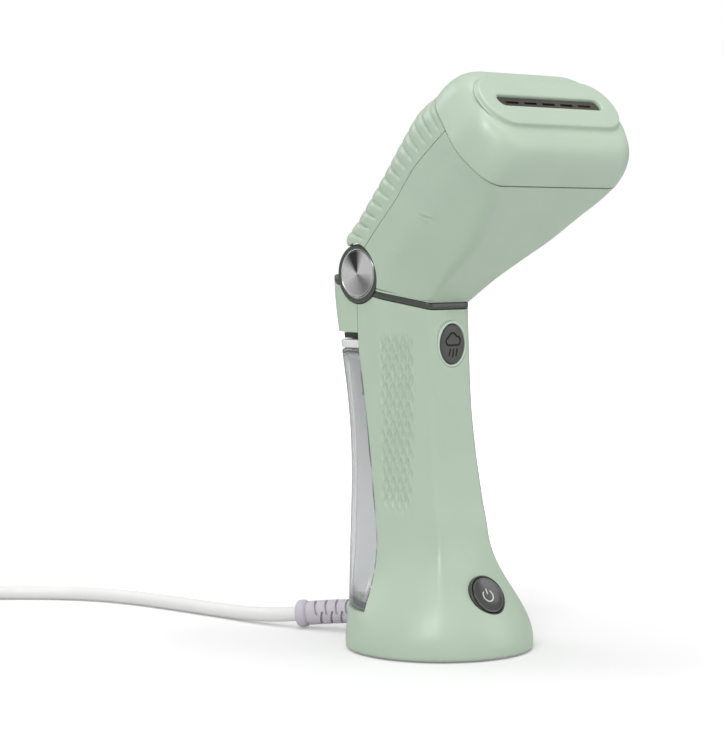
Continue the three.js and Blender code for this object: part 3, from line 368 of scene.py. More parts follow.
def ramp(nodes, links, source, low, high, from_min=0.35, from_max=0.65):
    node = nodes.new("ShaderNodeMapRange")
    node.inputs["From Min"].default_value = from_min
    node.inputs["From Max"].default_value = from_max
    node.inputs["To Min"].default_value = low
    node.inputs["To Max"].default_value = high
    links.new(source, node.inputs["Value"])
    return node.outputs[0]


def noise(nodes, links, coords, scale, detail=4.0, roughness=0.55):
    node = nodes.new("ShaderNodeTexNoise")
    node.inputs["Scale"].default_value = scale
    node.inputs["Detail"].default_value = detail
    node.inputs["Roughness"].default_value = roughness
    links.new(coords, node.inputs["Vector"])
    return node.outputs["Fac"]


def plastic(name, color, rough=0.4, grain=1400, bump=0.05, variation=0.03, wear=0.06,
            coat=0.0, metallic=0.0, spread=0.08, subsurface=0.0, bevel=0.25, edge_light=1.12):
    """Moulded plastic, rubber or metal: fine grain, uneven roughness, soft worn edges."""
    material, nodes, links, bsdf, out = shader(name)
    coords = nodes.new("ShaderNodeTexCoord").outputs["Object"]
    broad = noise(nodes, links, coords, 28, 3)
    fine = noise(nodes, links, coords, grain, 3, 0.6)
    smudge = noise(nodes, links, coords, 95, 5, 0.65)
    shade = nodes.new("ShaderNodeMix")
    shade.data_type = "RGBA"
    shade.inputs["A"].default_value = (*[c * (1 - variation) for c in color], 1)
    shade.inputs["B"].default_value = (*[min(1, c * (1 + variation)) for c in color], 1)
    links.new(ramp(nodes, links, broad, 0, 1), shade.inputs["Factor"])
    # Edge wear: where the rounded normal leaves the face normal, the colour lightens.
    round_edge = nodes.new("ShaderNodeBevel")
    round_edge.samples = 6
    round_edge.inputs["Radius"].default_value = bevel * MM
    geometry = nodes.new("ShaderNodeNewGeometry")
    dot = nodes.new("ShaderNodeVectorMath")
    dot.operation = "DOT_PRODUCT"
    links.new(round_edge.outputs[0], dot.inputs[0])
    links.new(geometry.outputs["Normal"], dot.inputs[1])
    edge = ramp(nodes, links, dot.outputs["Value"], wear, 0.0, 0.86, 0.995)
    worn = nodes.new("ShaderNodeMix")
    worn.data_type = "RGBA"
    worn.inputs["B"].default_value = (*[min(1, c * edge_light + 0.02) for c in color], 1)
    links.new(edge, worn.inputs["Factor"])
    links.new(shade.outputs["Result"], worn.inputs["A"])
    links.new(worn.outputs["Result"], bsdf.inputs["Base Color"])
    links.new(ramp(nodes, links, smudge, rough - spread, rough + spread), bsdf.inputs["Roughness"])
    bump_node = nodes.new("ShaderNodeBump")
    bump_node.inputs["Strength"].default_value = bump
    bump_node.inputs["Distance"].default_value = 0.0004
    links.new(fine, bump_node.inputs["Height"])
    links.new(round_edge.outputs[0], bump_node.inputs["Normal"])
    links.new(bump_node.outputs[0], bsdf.inputs["Normal"])
    bsdf.inputs["Metallic"].default_value = metallic
    bsdf.inputs["Coat Weight"].default_value = coat
    bsdf.inputs["Coat Roughness"].default_value = 0.18
    if subsurface:
        bsdf.inputs["Subsurface Weight"].default_value = subsurface
        bsdf.inputs["Subsurface Radius"].default_value = (0.004, 0.004, 0.0035)
        bsdf.inputs["Subsurface Scale"].default_value = 0.5
    return material


def metal_with_painted_reflection(name):
    """A turned metal face with a painted reflection: bright and dark sectors spreading out from its centre
    are painted into the base colour.
    """
    material, nodes, links, bsdf, out = shader(name)
    coords = nodes.new("ShaderNodeTexCoord").outputs["Object"]
    split = nodes.new("ShaderNodeSeparateXYZ")
    links.new(coords, split.inputs[0])

    def math_node(kind, a, b=None):
        node = nodes.new("ShaderNodeMath")
        node.operation = kind
        for i, value in enumerate((a, b)):
            if value is None:
                continue
            if isinstance(value, (int, float)):
                node.inputs[i].default_value = value
            else:
                links.new(value, node.inputs[i])
        return node.outputs[0]

    y = math_node("SUBTRACT", split.outputs["Y"], HINGE_Y * MM)
    z = math_node("SUBTRACT", split.outputs["Z"], HINGE_Z * MM)
    angle = math_node("ARCTAN2", z, y)
    radius = math_node("SQRT", math_node("ADD", math_node("MULTIPLY", y, y), math_node("MULTIPLY", z, z)))
    # Painted reflection: two sine waves of the angle round the hinge axis give bright and dark sectors.
    reflection_wave = math_node("SINE", math_node("ADD", math_node("MULTIPLY", angle, 2.0), 2.35))
    reflection_wave2 = math_node("SINE", math_node("ADD", math_node("MULTIPLY", angle, 3.0), 0.6))
    mixed = math_node("ADD", math_node("MULTIPLY", reflection_wave, 0.34), math_node("MULTIPLY", reflection_wave2, 0.16))
    rings = noise(nodes, links, math_combine(nodes, links, math_node("MULTIPLY", radius, 1.0)), 5200, 2, 0.5)
    # The painted reflection, with a little of the turned rings' grain, goes through the ramp into base colour
    # from near-black to white.
    reflection_and_rings = math_node("ADD", math_node("ADD", mixed, 0.5),
                     math_node("MULTIPLY", math_node("SUBTRACT", rings, 0.5), 0.12))
    color_ramp = nodes.new("ShaderNodeValToRGB")
    elements = color_ramp.color_ramp.elements
    elements[0].position, elements[0].color = 0.08, (0.06, 0.06, 0.06, 1)
    elements[1].position, elements[1].color = 0.72, (1.0, 1.0, 1.0, 1)
    middle = elements.new(0.4)
    middle.color = (0.62, 0.62, 0.63, 1)
    links.new(reflection_and_rings, color_ramp.inputs[0])
    links.new(color_ramp.outputs[0], bsdf.inputs["Base Color"])
    bsdf.inputs["Metallic"].default_value = 1.0
    links.new(ramp(nodes, links, rings, 0.24, 0.36), bsdf.inputs["Roughness"])
    bump_node = nodes.new("ShaderNodeBump")
    bump_node.inputs["Strength"].default_value = 0.12
    bump_node.inputs["Distance"].default_value = 0.0002
    links.new(rings, bump_node.inputs["Height"])
    links.new(bump_node.outputs[0], bsdf.inputs["Normal"])
    return material


def math_combine(nodes, links, value):
    node = nodes.new("ShaderNodeCombineXYZ")
    links.new(value, node.inputs[0])
    return node.outputs[0]


def clear(name, tint=(0.93, 0.95, 0.95), rough=0.06, amount=0.88):
    """See-through plastic: a thin moulding, so light passes with little bending."""
    material, nodes, links, bsdf, out = shader(name)
    coords = nodes.new("ShaderNodeTexCoord").outputs["Object"]
    smudge = noise(nodes, links, coords, 60, 5, 0.6)
    fine = noise(nodes, links, coords, 700, 2, 0.5)
    bsdf.inputs["Base Color"].default_value = (*tint, 1)
    bsdf.inputs["Transmission Weight"].default_value = amount
    bsdf.inputs["IOR"].default_value = 1.42
    links.new(ramp(nodes, links, smudge, rough * 0.6, rough * 1.6), bsdf.inputs["Roughness"])
    bump_node = nodes.new("ShaderNodeBump")
    bump_node.inputs["Strength"].default_value = 0.03
    bump_node.inputs["Distance"].default_value = 0.0003
    links.new(fine, bump_node.inputs["Height"])
    links.new(bump_node.outputs[0], bsdf.inputs["Normal"])
    # Painted shade: thick clear walls look dark where they are seen edge-on, so a near-black layer is mixed
    # in there.
    facing = nodes.new("ShaderNodeLayerWeight")
    facing.inputs["Blend"].default_value = 0.5
    rim = nodes.new("ShaderNodeBsdfPrincipled")
    rim.inputs["Base Color"].default_value = (0.03, 0.033, 0.032, 1)
    rim.inputs["Roughness"].default_value = 0.12
    edge_shade_mix = nodes.new("ShaderNodeMixShader")
    links.new(ramp(nodes, links, facing.outputs["Facing"], 0.0, 0.92, 0.62, 0.9), edge_shade_mix.inputs[0])
    links.new(bsdf.outputs[0], edge_shade_mix.inputs[1])
    links.new(rim.outputs[0], edge_shade_mix.inputs[2])
    links.new(edge_shade_mix.outputs[0], out.inputs[0])
    return material


def srgb(r, g, b):
    return tuple(((c / 255 + 0.055) / 1.055) ** 2.4 if c > 10 else c / 255 / 12.92 for c in (r, g, b))


GREEN = plastic("sage green plastic", srgb(181, 199, 180), 0.42, 1500, 0.05, 0.015, 0.3, coat=0.12)
DARK = plastic("dark green-grey plastic", srgb(62, 68, 60), 0.33, 1300, 0.05, 0.05, 0.35, coat=0.25,
               edge_light=1.6)
BUTTON = plastic("charcoal button", srgb(74, 75, 72), 0.42, 1500, 0.10, 0.05, 0.25, edge_light=1.3)
GLOSS = plastic("glossy charcoal", srgb(58, 60, 58), 0.22, 1200, 0.03, 0.05, 0.3, coat=0.6, edge_light=1.6)
INK = plastic("near-black recess", srgb(26, 27, 25), 0.5, 1200, 0.04, 0.05, 0.1)
PRINT = plastic("pale grey print", srgb(214, 216, 212), 0.5, 1200, 0.03, 0.02, 0.1)
INNER = plastic("dark inner plastic", srgb(58, 61, 58), 0.55, 900, 0.12, 0.06, 0.2)
STEEL = plastic("plain steel", (0.55, 0.56, 0.57), 0.32, 2200, 0.08, 0.05, 0.3, metallic=1.0)
RIM_METAL = plastic("bright rim", (0.74, 0.75, 0.76), 0.2, 2200, 0.04, 0.03, 0.3, metallic=1.0)
BRONZE = plastic("nozzle strip metal", (0.13, 0.115, 0.10), 0.36, 2200, 0.08, 0.12, 0.3, metallic=0.85)
ALUMINIUM = plastic("cast aluminium", (0.62, 0.63, 0.64), 0.5, 700, 0.25, 0.06, 0.3, metallic=1.0)
PALE = plastic("pale moulding", srgb(222, 224, 221), 0.32, 1100, 0.04, 0.02, 0.2, coat=0.2)
GREY = plastic("grey moulding", srgb(150, 153, 150), 0.5, 1100, 0.08, 0.04, 0.25)
RUBBER = plastic("black rubber", srgb(48, 50, 52), 0.75, 900, 0.25, 0.06, 0.2)
SILICONE = plastic("silicone tube", srgb(226, 229, 226), 0.45, 900, 0.05, 0.02, 0.1, subsurface=0.3)
BOARD = plastic("circuit board", srgb(44, 106, 70), 0.42, 1800, 0.2, 0.1, 0.2)
MAUVE = plastic("mauve sleeve", srgb(203, 196, 205), 0.55, 1000, 0.10, 0.02, 0.2, subsurface=0.1)
CORD = plastic("cord sheath", srgb(233, 233, 232), 0.48, 1100, 0.06, 0.015, 0.1, subsurface=0.1)
COPPER = plastic("red-brown enamel", srgb(163, 74, 58), 0.45, 1300, 0.15, 0.06, 0.2)
BLUE = plastic("blue sheath", srgb(74, 100, 143), 0.5, 1300, 0.08, 0.04, 0.2)
CLEAR = clear("clear tank")
RING_LIGHT = plastic("pale green ring", srgb(196, 212, 197), 0.34, 1500, 0.04, 0.015, 0.3, coat=0.2)
METAL_PAINTED_REFLECTION = metal_with_painted_reflection("turned metal disc with painted reflection")

SLOT_MATERIAL = {
    "green_plastic": GREEN, "dark_plastic": DARK, "inner_plastic": INNER, "brushed_metal": METAL_PAINTED_REFLECTION,
    "steel": STEEL, "cast_aluminium": ALUMINIUM, "clear_plastic": CLEAR, "pale_plastic": PALE,
    "grey_plastic": GREY, "black_rubber": RUBBER, "silicone": SILICONE, "circuit_board": BOARD,
    "mauve_rubber": MAUVE, "cord_sheath": CORD, "copper_red": COPPER, "blue_sheath": BLUE,
}
for part in frame["record"]["subparts"]:
    node = frame["nodes"][part["node"]]
    node.data.materials.clear()
    node.data.materials.append(SLOT_MATERIAL[part["material_slot"]])


def finish_piece(obj, material, body, slot, nodes=(), angle=38):
    obj.data.materials.clear()
    obj.data.materials.append(material)
    smooth_by_angle(obj, angle)
    return ride(obj, body, slot, *nodes)


# ------------------------------------------------------------------- cord
def cord_points():
    route = [(-16.6, 83.4, 6.95), (-20.2, 92, 5.9), (-22.8, 103, 4.9), (-24.6, 117, 4.1), (-26.2, 134, 3.8),
             (-28.6, 152, 3.8), (-31.2, 170, 3.8), (-34.2, 188, 3.8), (-38.8, 205.5, 3.8),
             (-46.4, 221.5, 3.8),
             (-57.5, 236, 3.8), (-71.5, 249, 3.8), (-87.4, 261.6, 3.8), (-100.7, 272, 3.8)]
    inner, outer = COIL_R - CORD_R, COIL_R + CORD_R
    touch = math.atan2(0.8, 0.6)      # where the straight run meets the coil, going round with rising angle
    cx, cy = COIL_CENTRE
    start = (cx + outer * math.cos(touch), cy + outer * math.sin(touch))
    route += [(start[0] + 0.8 * 12, start[1] - 0.6 * 12, 3.8)]
    # The turns: one lane of the ring after another, changing lane near the end of each turn.
    lanes = [(outer, 3.8), (inner, 3.8), (inner, 11.0), (inner, 18.2), (outer, 18.2), (outer, 11.0)]
    last = len(lanes) - 1
    sweep = 2 * math.pi * last + (COIL_END_ANGLE - touch)
    coil = []
    for k in range(141):
        angle = sweep * k / 140
        turn = angle / (2 * math.pi)
        here, there = lanes[min(int(turn), last)], lanes[min(int(turn) + 1, last)]
        part = min(max((turn - int(turn) - 0.74) / 0.26, 0), 1)
        part = ease(part)
        r = here[0] + (there[0] - here[0]) * part
        z = here[1] + (there[1] - here[1]) * part
        coil.append((cx + r * math.cos(touch + angle), cy + r * math.sin(touch + angle), z))
    return route, coil


route, coil = cord_points()


def curve_object(name, points, radius, resolution=6, kind="NURBS"):
    data = bpy.data.curves.new(name, "CURVE")
    data.dimensions = "3D"
    data.bevel_depth = radius * MM
    data.bevel_resolution = resolution
    data.use_fill_caps = True
    spline = data.splines.new(kind)
    spline.points.add(len(points) - 1)
    for p, co in zip(spline.points, points):
        p.co = (*[c * MM for c in co], 1)
    if kind == "NURBS":
        spline.order_u = 4
        spline.use_endpoint_u = True
        spline.resolution_u = 4
    obj = bpy.data.objects.new(name, data)
    scene.collection.objects.link(obj)
    return obj


tail_dir = Vector((-math.sin(COIL_END_ANGLE), math.cos(COIL_END_ANGLE), 0))
tail_from = Vector((COIL_CENTRE[0] + (COIL_R + CORD_R) * math.cos(COIL_END_ANGLE),
                    COIL_CENTRE[1] + (COIL_R + CORD_R) * math.sin(COIL_END_ANGLE), 10.8))
TAIL_RUN = 46.5
tail = [tuple(tail_from + tail_dir * r) for r in (9, 20, 32, TAIL_RUN)]
cord_line = route + coil[1:] + tail
cord_length = sum((Vector(b) - Vector(a)).length for a, b in zip(cord_line, cord_line[1:])) * MM
cord = curve_object("cord", cord_line, CORD_R)
cord.data.materials.append(CORD)
ride(cord, "handle", "cord_sheath", "power_cord", "cord_coil", "cord_tail")

# ------------------------------------------------------------- the plug
plug_turn = math.atan2(tail_dir.y, tail_dir.x) - math.pi / 2


def super_ring(half_w, half_h, y, power=3.2, count=48):
    ring = []
    for k in range(count):
        a = 2 * math.pi * k / count
        c, s = math.cos(a), math.sin(a)
        ring.append((half_w * math.copysign(abs(c) ** (2 / power), c), y,
                     half_h * math.copysign(abs(s) ** (2 / power), s)))
    return ring


def plug_rows():
    rows = []
    for y, w, h, p in ((0, 3.75, 3.75, 2), (0.2, 4.1, 4.1, 2), (1, 4.5, 4.5, 2), (3, 4.6, 4.6, 2)):
        rows.append(super_ring(w, h, y, p))
    for k in range(4):
        base = 4 + 3 * k
        w = 4.7 + 0.35 * k
        for y, cut in ((0, 0), (0.35, 0.7), (1.3, 0.7), (1.65, 0), (2.9, 0)):
            rows.append(super_ring(w - cut, w - cut, base + y, 2.1))
    for t in np.linspace(0, 1, 12)[1:]:
        e = ease(t)
        rows.append(super_ring(5.9 + 6.1 * e, 5.9 + 2.6 * e, 16.5 + 7 * t, 2.2 + 1.6 * e))
    for y, cut in ((30, 0.25), (36, 0.5), (42, 0.3), (47, 0), (48.6, 0.1), (49.5, 0.55), (49.9, 1.2),
                   (50, 2.2)):
        rows.append(super_ring(12 - cut, 8.5 - cut * 0.8, y, 3.8))
    return rows


plug = recalc(grid("plug", plug_rows(), closed=True, caps=(True, True)))
# The neck's centre is where the tail's straight line enters the plug body's box.
clear_run = math.sqrt((COIL_R + 2 * CORD_R + CORD_R + GAP) ** 2 - (COIL_R + CORD_R) ** 2)
neck = Vector((COIL_CENTRE[0] + (COIL_R + CORD_R) * math.cos(COIL_END_ANGLE),
               COIL_CENTRE[1] + (COIL_R + CORD_R) * math.sin(COIL_END_ANGLE), 10.6))
neck += tail_dir * (clear_run + 24 + GAP)
move = Matrix.Translation(neck * MM) @ Matrix.Rotation(plug_turn, 4, "Z")
plug.data.transform(move)
finish_piece(plug, CORD, "handle", "cord_sheath", ["plug_body"], 40)
for side in ("left", "right"):
    blade = frame["nodes"]["plug_blade_" + side]
    soft = blade.modifiers.new("edges", "BEVEL")
    soft.width, soft.segments = 0.0004, 3

# ------------------------------------------------------- handle housings
COLS, REAR_COLS = 161, 60


def clip_y(z):
    return min(TANK_Y + z * math.tan(TANK_LEAN), REAR_COVER_FRONT)


def front_strip(z, inset=0.0):
    side = handle_side(z, inset)
    limit = clip_y(z)
    return both_sides(resample(clip_below(side, lambda p: p[1] - limit), COLS))


def rear_strip(z, limit, inset=0.0, count=REAR_COLS):
    """From +X round the rear to -X."""
    side = resample(clip_above(handle_side(z, inset), lambda p: p[1] - limit), count)
    other = side[::-1].copy()
    other[:, 0] *= -1
    return np.vstack([side, other[1:]])


def with_z(points, z):
    return np.column_stack([points, np.full(len(points), z) if np.isscalar(z) else z])


def parting(y):
    return PARTING_Z + y * math.tan(PARTING_ANGLE)


def rows_to_parting(strip, start, steps, offset=0.0):
    """Rows from a level up to the sloping parting plane, column by column."""
    heights = np.arange(start - 1, 182, 0.5)
    table = np.array([strip(z) for z in heights])
    rows = []
    for t in np.linspace(0, 1, steps + 1):
        z = np.full(table.shape[1], start + 5.0)
        for _ in range(5):
            index = (z - heights[0]) / 0.5
            i = np.clip(index.astype(int), 0, len(heights) - 2)
            f = (index - i)[:, None]
            cols = np.arange(len(z))
            xy = table[i, cols] * (1 - f) + table[i + 1, cols] * f
            z = start + (parting(xy[:, 1]) + offset - start) * t
        rows.append(np.column_stack([xy, z]))
    return rows


QUILT_HALF_WIDTH, QUILT_WIDE, QUILT_TALL, QUILT_DEPTH = 10.2, 3.9, 8.7, 1.05
RIB_PITCH, RIB_DEPTH = 7.6, 1.3
SLEEVE_PITCH, SLEEVE_CUT, SLEEVE_CUT_HALF = 5.7, 1.6, 0.55


def quilt(points, z):
    """How far the grip's diamonds sink between their raised diagonal ridges, in millimetres."""
    across = points[:, 1] / 0.878
    centre = np.interp(z, (62, 98, 145), (6.4, 8.7, 10.4))
    edge = QUILT_HALF_WIDTH - np.abs(across - centre)
    fade = np.clip(edge / 3.5, 0, 1) * min(max((z - 61) / 12, 0), 1) * min(max((151 - z) / 9, 0), 1)
    fade = ease(fade)
    u, v = (across - centre) / QUILT_WIDE, z / QUILT_TALL
    near = np.minimum(np.abs(u + v - np.round(u + v)), np.abs(u - v - np.round(u - v)))
    hollow = np.clip(near / 0.34, 0, 1)
    hollow = ease(hollow)
    return fade * hollow * QUILT_DEPTH


def sunk(points, z, amount):
    """Moves an outline's points inwards, along their own normals."""
    tangent = np.gradient(points, axis=0)
    normal = np.column_stack([tangent[:, 1], -tangent[:, 0]])
    normal /= np.linalg.norm(normal, axis=1)[:, None] + 1e-9
    return points - normal * amount[:, None]


levels = [0.8, 1.0, 1.5, 2.4, 3.6, 5, 7, 9, 11.5, 14, 16.5, 19]
levels_mid = list(np.arange(21, 62, 2.0)) + list(np.arange(62, 146.7, 0.6)) + [147.0]
lip = {0.8: 0.9, 1.0: 0.45, 1.5: 0.1}


def full_ring(z):
    inset = lip.get(z, 0.0)
    return np.vstack([front_strip(z, inset), rear_strip(z, clip_y(z), inset)[1:-1]])


bottom_rows = [with_z(full_ring(z), z) for z in levels]
strip_rows = []
for z in levels_mid:
    strip = front_strip(z)
    strip_rows.append(with_z(sunk(strip, z, quilt(strip, z)), z))
top_rows = rows_to_parting(front_strip, 147.0, 14)[1:]

full_count = len(bottom_rows[0])
strip_count = 2 * COLS - 1
verts = list(np.vstack(bottom_rows))
faces = []
for r in range(len(bottom_rows) - 1):
    for i in range(full_count):
        a, b = r * full_count + i, r * full_count + (i + 1) % full_count
        faces.append((a, b, b + full_count, a + full_count))
previous = (len(bottom_rows) - 1) * full_count
for row in strip_rows + top_rows:
    start = len(verts)
    verts += list(row)
    for i in range(strip_count - 1):
        faces.append((previous + i, previous + i + 1, start + i + 1, start + i))
    previous = start
shell = new_object("handle_housing", np.array(verts) * MM, faces)
thicken(shell)


def x_cylinder(radius, half, y=HINGE_Y, z=HINGE_Z):
    return turned("cutter", [(radius, -half), (radius, half)], 96,
                  Matrix.Translation((0, y * MM, z * MM)) @ Matrix.Rotation(math.pi / 2, 4, "Y"))


def y_cylinder(radius, low, high, steps, origin):
    """A cutter along Y, between two distances from a point."""
    return turned("cutter", [(radius, low), (radius, high)], steps,
                  Matrix.Translation(Vector(origin) * MM) @ Matrix.Rotation(-math.pi / 2, 4, "X"))


def block(low, high, matrix=None):
    verts = [(x, y, z) for x in (low[0], high[0]) for y in (low[1], high[1]) for z in (low[2], high[2])]
    faces = [(0, 1, 3, 2), (4, 6, 7, 5), (0, 4, 5, 1), (2, 3, 7, 6), (0, 2, 6, 4), (1, 5, 7, 3)]
    obj = new_object("block", np.array(verts) * MM, faces, smooth=False)
    recalc(obj)
    if matrix is not None:
        obj.data.transform(matrix)
    return obj


front_y = {z: float(handle_side(z)[0][1]) for z in (STEAM_Z, POWER_Z)}
steam_frame = frame_matrix((0, front_y[STEAM_Z], STEAM_Z), (0, -1, 0))
power_frame = frame_matrix((0, front_y[POWER_Z], POWER_Z), (0, -math.cos(POWER_TILT), math.sin(POWER_TILT)))


def oval_rows(halves, profile, steps=96):
    """Ovals drawn in from the half sizes, one for each (inset, height) pair."""
    return [[((halves[0] - inset) * math.cos(2 * math.pi * k / steps),
              (halves[1] - inset) * math.sin(2 * math.pi * k / steps), z) for k in range(steps)]
            for inset, z in profile]


def oval_solid(name, halves, profile, matrix):
    obj = recalc(grid(name, oval_rows(halves, profile), closed=True, caps=(True, True)))
    obj.data.transform(matrix)
    return obj


boolean(shell, x_cylinder(RING_RADIUS + RING_CLEARANCE, 60))
boolean(shell, oval_solid("cutter", [r + STEAM_BEZEL + 0.12 for r in STEAM_HALF], [(0, -12), (0, 8)],
                          steam_frame))
boolean(shell, oval_solid("cutter", [POWER_R + POWER_RIM + 0.12] * 2, [(0, -9), (0, 9)], power_frame))
boolean(shell, y_cylinder(7.8, 30, 60, 64, (0, 0, CORD_EXIT_Z)))
finish_piece(shell, GREEN, "handle", "green_plastic", ["handle_shell"], 30)

# The tank bay's leaning wall, floor and ceiling, seen when the tank is away.


def bay_outline(z, inset, limit):
    points = rear_strip(z, limit, inset, 40)
    return with_z(points, z)


floor_plate = recalc(grid("bay_floor", [bay_outline(z, WALL + 0.05, TANK_Y + 19 * math.tan(TANK_LEAN) - 2)
                                        for z in (17.0, 18.95)], closed=True, caps=(True, True)))
finish_piece(floor_plate, GREEN, "handle", "green_plastic", [], 30)
wall_rows = []
for z in np.linspace(17.0, 148.6, 34):
    y = TANK_Y + z * math.tan(TANK_LEAN)
    side = clip_below(handle_side(z, WALL + 0.05), lambda p: p[1] - y - 0.01)
    half = float(np.interp(y, side[:, 1], side[:, 0]))
    wall_rows.append([(-half, y, z), (half, y, z), (half, y - 2, z), (-half, y - 2, z)])
bay_wall = recalc(grid("bay_wall", wall_rows, closed=True, caps=(True, True)))
boolean(bay_wall, y_cylinder(5.2, -10, 60, 48, (0, 0, 34)))
finish_piece(bay_wall, GREEN, "handle", "green_plastic", [], 30)
ceiling = recalc(grid("bay_ceiling", [bay_outline(z, WALL + 0.05, REAR_COVER_FRONT - 1) for z in (147.1,
                                                                                                  148.9)],
                      closed=True, caps=(True, True)))
finish_piece(ceiling, GREEN, "handle", "green_plastic", [], 30)

# Rear cover, from the bay's top up to the parting plane.
cover_limit = REAR_COVER_FRONT + SEAM
cover_rows = rows_to_parting(lambda z: rear_strip(z, cover_limit), BAY_TOP + SEAM, 22)
cover = grid("rear_housing", cover_rows)
thicken(cover)
boolean(cover, x_cylinder(RING_RADIUS + RING_CLEARANCE, 60))
finish_piece(cover, GREEN, "handle", "green_plastic", ["rear_cover"], 30)

# Dark strip in the parting plane.


def trim_solid():
    def ring(z):
        half = both_sides(resample(handle_side(z, -0.1), 90))
        return half[:-1]
    rows = rows_to_parting(ring, 147.0, 1, GAP)[1:]
    low = rows[0]
    rows = []
    for rise, inset in ((0, 0.45), (0.2, 0.1), (0.5, 0), (TRIM - 0.5, 0), (TRIM - 0.15, 0.12), (TRIM, 0.5)):
        centre = low.mean(axis=0)
        scale = 1 - inset / 26
        row = low.copy()
        row[:, 0] = row[:, 0] * scale
        row[:, 1] = centre[1] + (row[:, 1] - centre[1]) * (1 - inset / 30)
        row[:, 2] = parting(row[:, 1]) + GAP + rise / math.cos(PARTING_ANGLE)
        rows.append(row)
    return recalc(grid("trim", rows, closed=True, caps=(True, True)))


for name, low, high, node in (("strip_front", (-80, 22, 100), (80, 120, 240), "parting_trim_front"),
                              ("strip_rear", (-80, -80, 100), (80, 38, 240), "parting_trim_rear")):
    piece = trim_solid()
    piece.name = name
    boolean(piece, x_cylinder(RING_RADIUS + RING_CLEARANCE, 60))
    boolean(piece, block(low, high))
    if node.endswith("front"):
        boolean(piece, block((-9, -2, 100), (9, 60, 240)))
    finish_piece(piece, DARK, "handle", "dark_plastic", [node], 30)

# ------------------------------------------------------------ head housings
HEAD_T = list(range(len(HEAD) + 1))


def to_head(x, y, z):
    """A point of the steam face's frame, brought into the row frame."""
    return (x, FACE_CENTRE[1] + math.sin(FACE_TILT) * y - math.cos(FACE_TILT) * z,
            FACE_CENTRE[2] + math.cos(FACE_TILT) * y + math.sin(FACE_TILT) * z)


_low = to_head(0, CAP_LOW, -CAP_DEPTH)
_high = to_head(0, CAP_HIGH, -CAP_DEPTH)
HEAD_ROWS = HEAD + [((_low[1], _low[2]), (_high[1], _high[2]), CAP_FLAT, CAP_HALF, CAP_BACK,
                     CAP_SHOULDER, CAP_R)]


def head_value(t, pick):
    return float(interp(HEAD_T, [pick(row) for row in HEAD_ROWS], t))


def head_side(t, inset=0.0):
    """The +X side of the head's section at t, as 3-D points, front centre to rear centre."""
    low = np.array([head_value(t, lambda r, k=k: r[0][k]) for k in (0, 1)])
    high = np.array([head_value(t, lambda r, k=k: r[1][k]) for k in (0, 1)])
    depth = np.linalg.norm(high - low)
    along = (high - low) / depth
    flat, half, back, share = (head_value(t, lambda r, k=k: r[k]) for k in (2, 3, 4, 5))
    radii = [max(head_value(t, lambda r, k=k: r[6][k]) - 0.6 * inset, 1) for k in range(3)]
    depth -= 2 * inset
    pts = section(flat - 0.6 * inset, half - inset, back - inset, share * depth, depth, radii)
    start = low + along * inset
    return np.column_stack([pts[:, 0], start[0] + along[0] * pts[:, 1], start[1] + along[1] * pts[:, 1]])


seam_y = [p[0] for p in BACK_SEAM][::-1]
seam_z = [p[1] for p in BACK_SEAM][::-1]


def over_seam(p):
    return p[2] - float(interp(seam_y, seam_z, p[1]))


HEAD_COLS, COVER_COLS = 96, 60
head_rows, back_rows = [], []
for t in np.linspace(0, 6, 120):
    side = head_side(t)
    front = clip_below(side, lambda p: over_seam(p) + SEAM / 2)
    row = both_sides(resample(front, HEAD_COLS))
    head_rows.append(row)
T_COVER = 0.55
rib_distance = 0.0
previous_high = None
for t in np.linspace(T_COVER, 6.0, 190):
    side = head_side(t)
    if over_seam(side[-1]) <= SEAM:
        continue
    rear = resample(clip_above(side, lambda p: over_seam(p) - SEAM / 2), COVER_COLS)
    high = rear[-1]
    rib_distance += 0 if previous_high is None else float(np.linalg.norm(high - previous_high))
    previous_high = high
    # Rounded ribs across the cover; they fade out towards its long edges and its two ends.
    phase = (rib_distance / RIB_PITCH) % 1.0
    valley = abs(2 * phase - 1) ** 5
    edge = np.linalg.norm(rear - rear[0], axis=1)
    fade = np.clip((edge - 2.2) / 5.0, 0, 1)
    fade = ease(fade)
    ends = min(1.0, max(0.0, (6 - t) / 0.12)) * min(1.0, rib_distance / 6)
    centre = np.array([0, rear[:, 1].mean(), rear[:, 2].mean()])
    inward = centre - rear
    inward /= np.linalg.norm(inward, axis=1)[:, None]
    moved = rear + inward * (fade * valley * ends * RIB_DEPTH)[:, None]
    other = moved[::-1].copy()
    other[:, 0] *= -1
    back_rows.append(np.vstack([moved, other[1:]]))


def heel_block():
    return block((-100, -150, -300), (100, 150, 0),
                 Matrix.Translation((0, HINGE_Y * MM, HINGE_Z * MM)) @ Matrix.Rotation(HEEL_ANGLE, 4, "X"))


head = grid("head_housing", head_rows)
thicken(head)
boolean(head, x_cylinder(RING_RADIUS + RING_CLEARANCE, 60))
boolean(head, heel_block())
back = grid("back_housing", back_rows)
thicken(back)
boolean(back, x_cylinder(RING_RADIUS + RING_CLEARANCE, 60))
boolean(back, heel_block())

# A shallow pill-shaped mark low on each side of the head.
PILL_DEPTH, PILL_HALF, PILL_R = 0.6, 5.2, 1.75
for side in (-1, 1):
    along = Vector((0, -0.96, -0.28)).normalized()
    _, at, out, _ = head.closest_point_on_mesh(Vector((side * 60, -25.5, 190.5)) * MM)
    rings = []
    for grow, h in ((-0.5, 0.0), (-0.12, 0.06), (0.0, 0.3), (0.0, 3.0)):
        ring = []
        for k in range(48):
            a = 2 * math.pi * (k + 0.5) / 48
            ring.append((PILL_HALF * math.copysign(1, math.cos(a)) + (PILL_R + grow) * math.cos(a),
                         (PILL_R + grow) * math.sin(a), h))
        rings.append(ring)
    pill = recalc(grid("cutter", rings, closed=True, caps=(True, True)))
    pill.data.transform(frame_matrix((at - out * PILL_DEPTH * MM) / MM, out, along))
    boolean(head, pill)
finish_piece(head, GREEN, "head", "green_plastic", ["head_shell"], 30)
finish_piece(back, GREEN, "head", "green_plastic", ["head_back_cover"], 40)


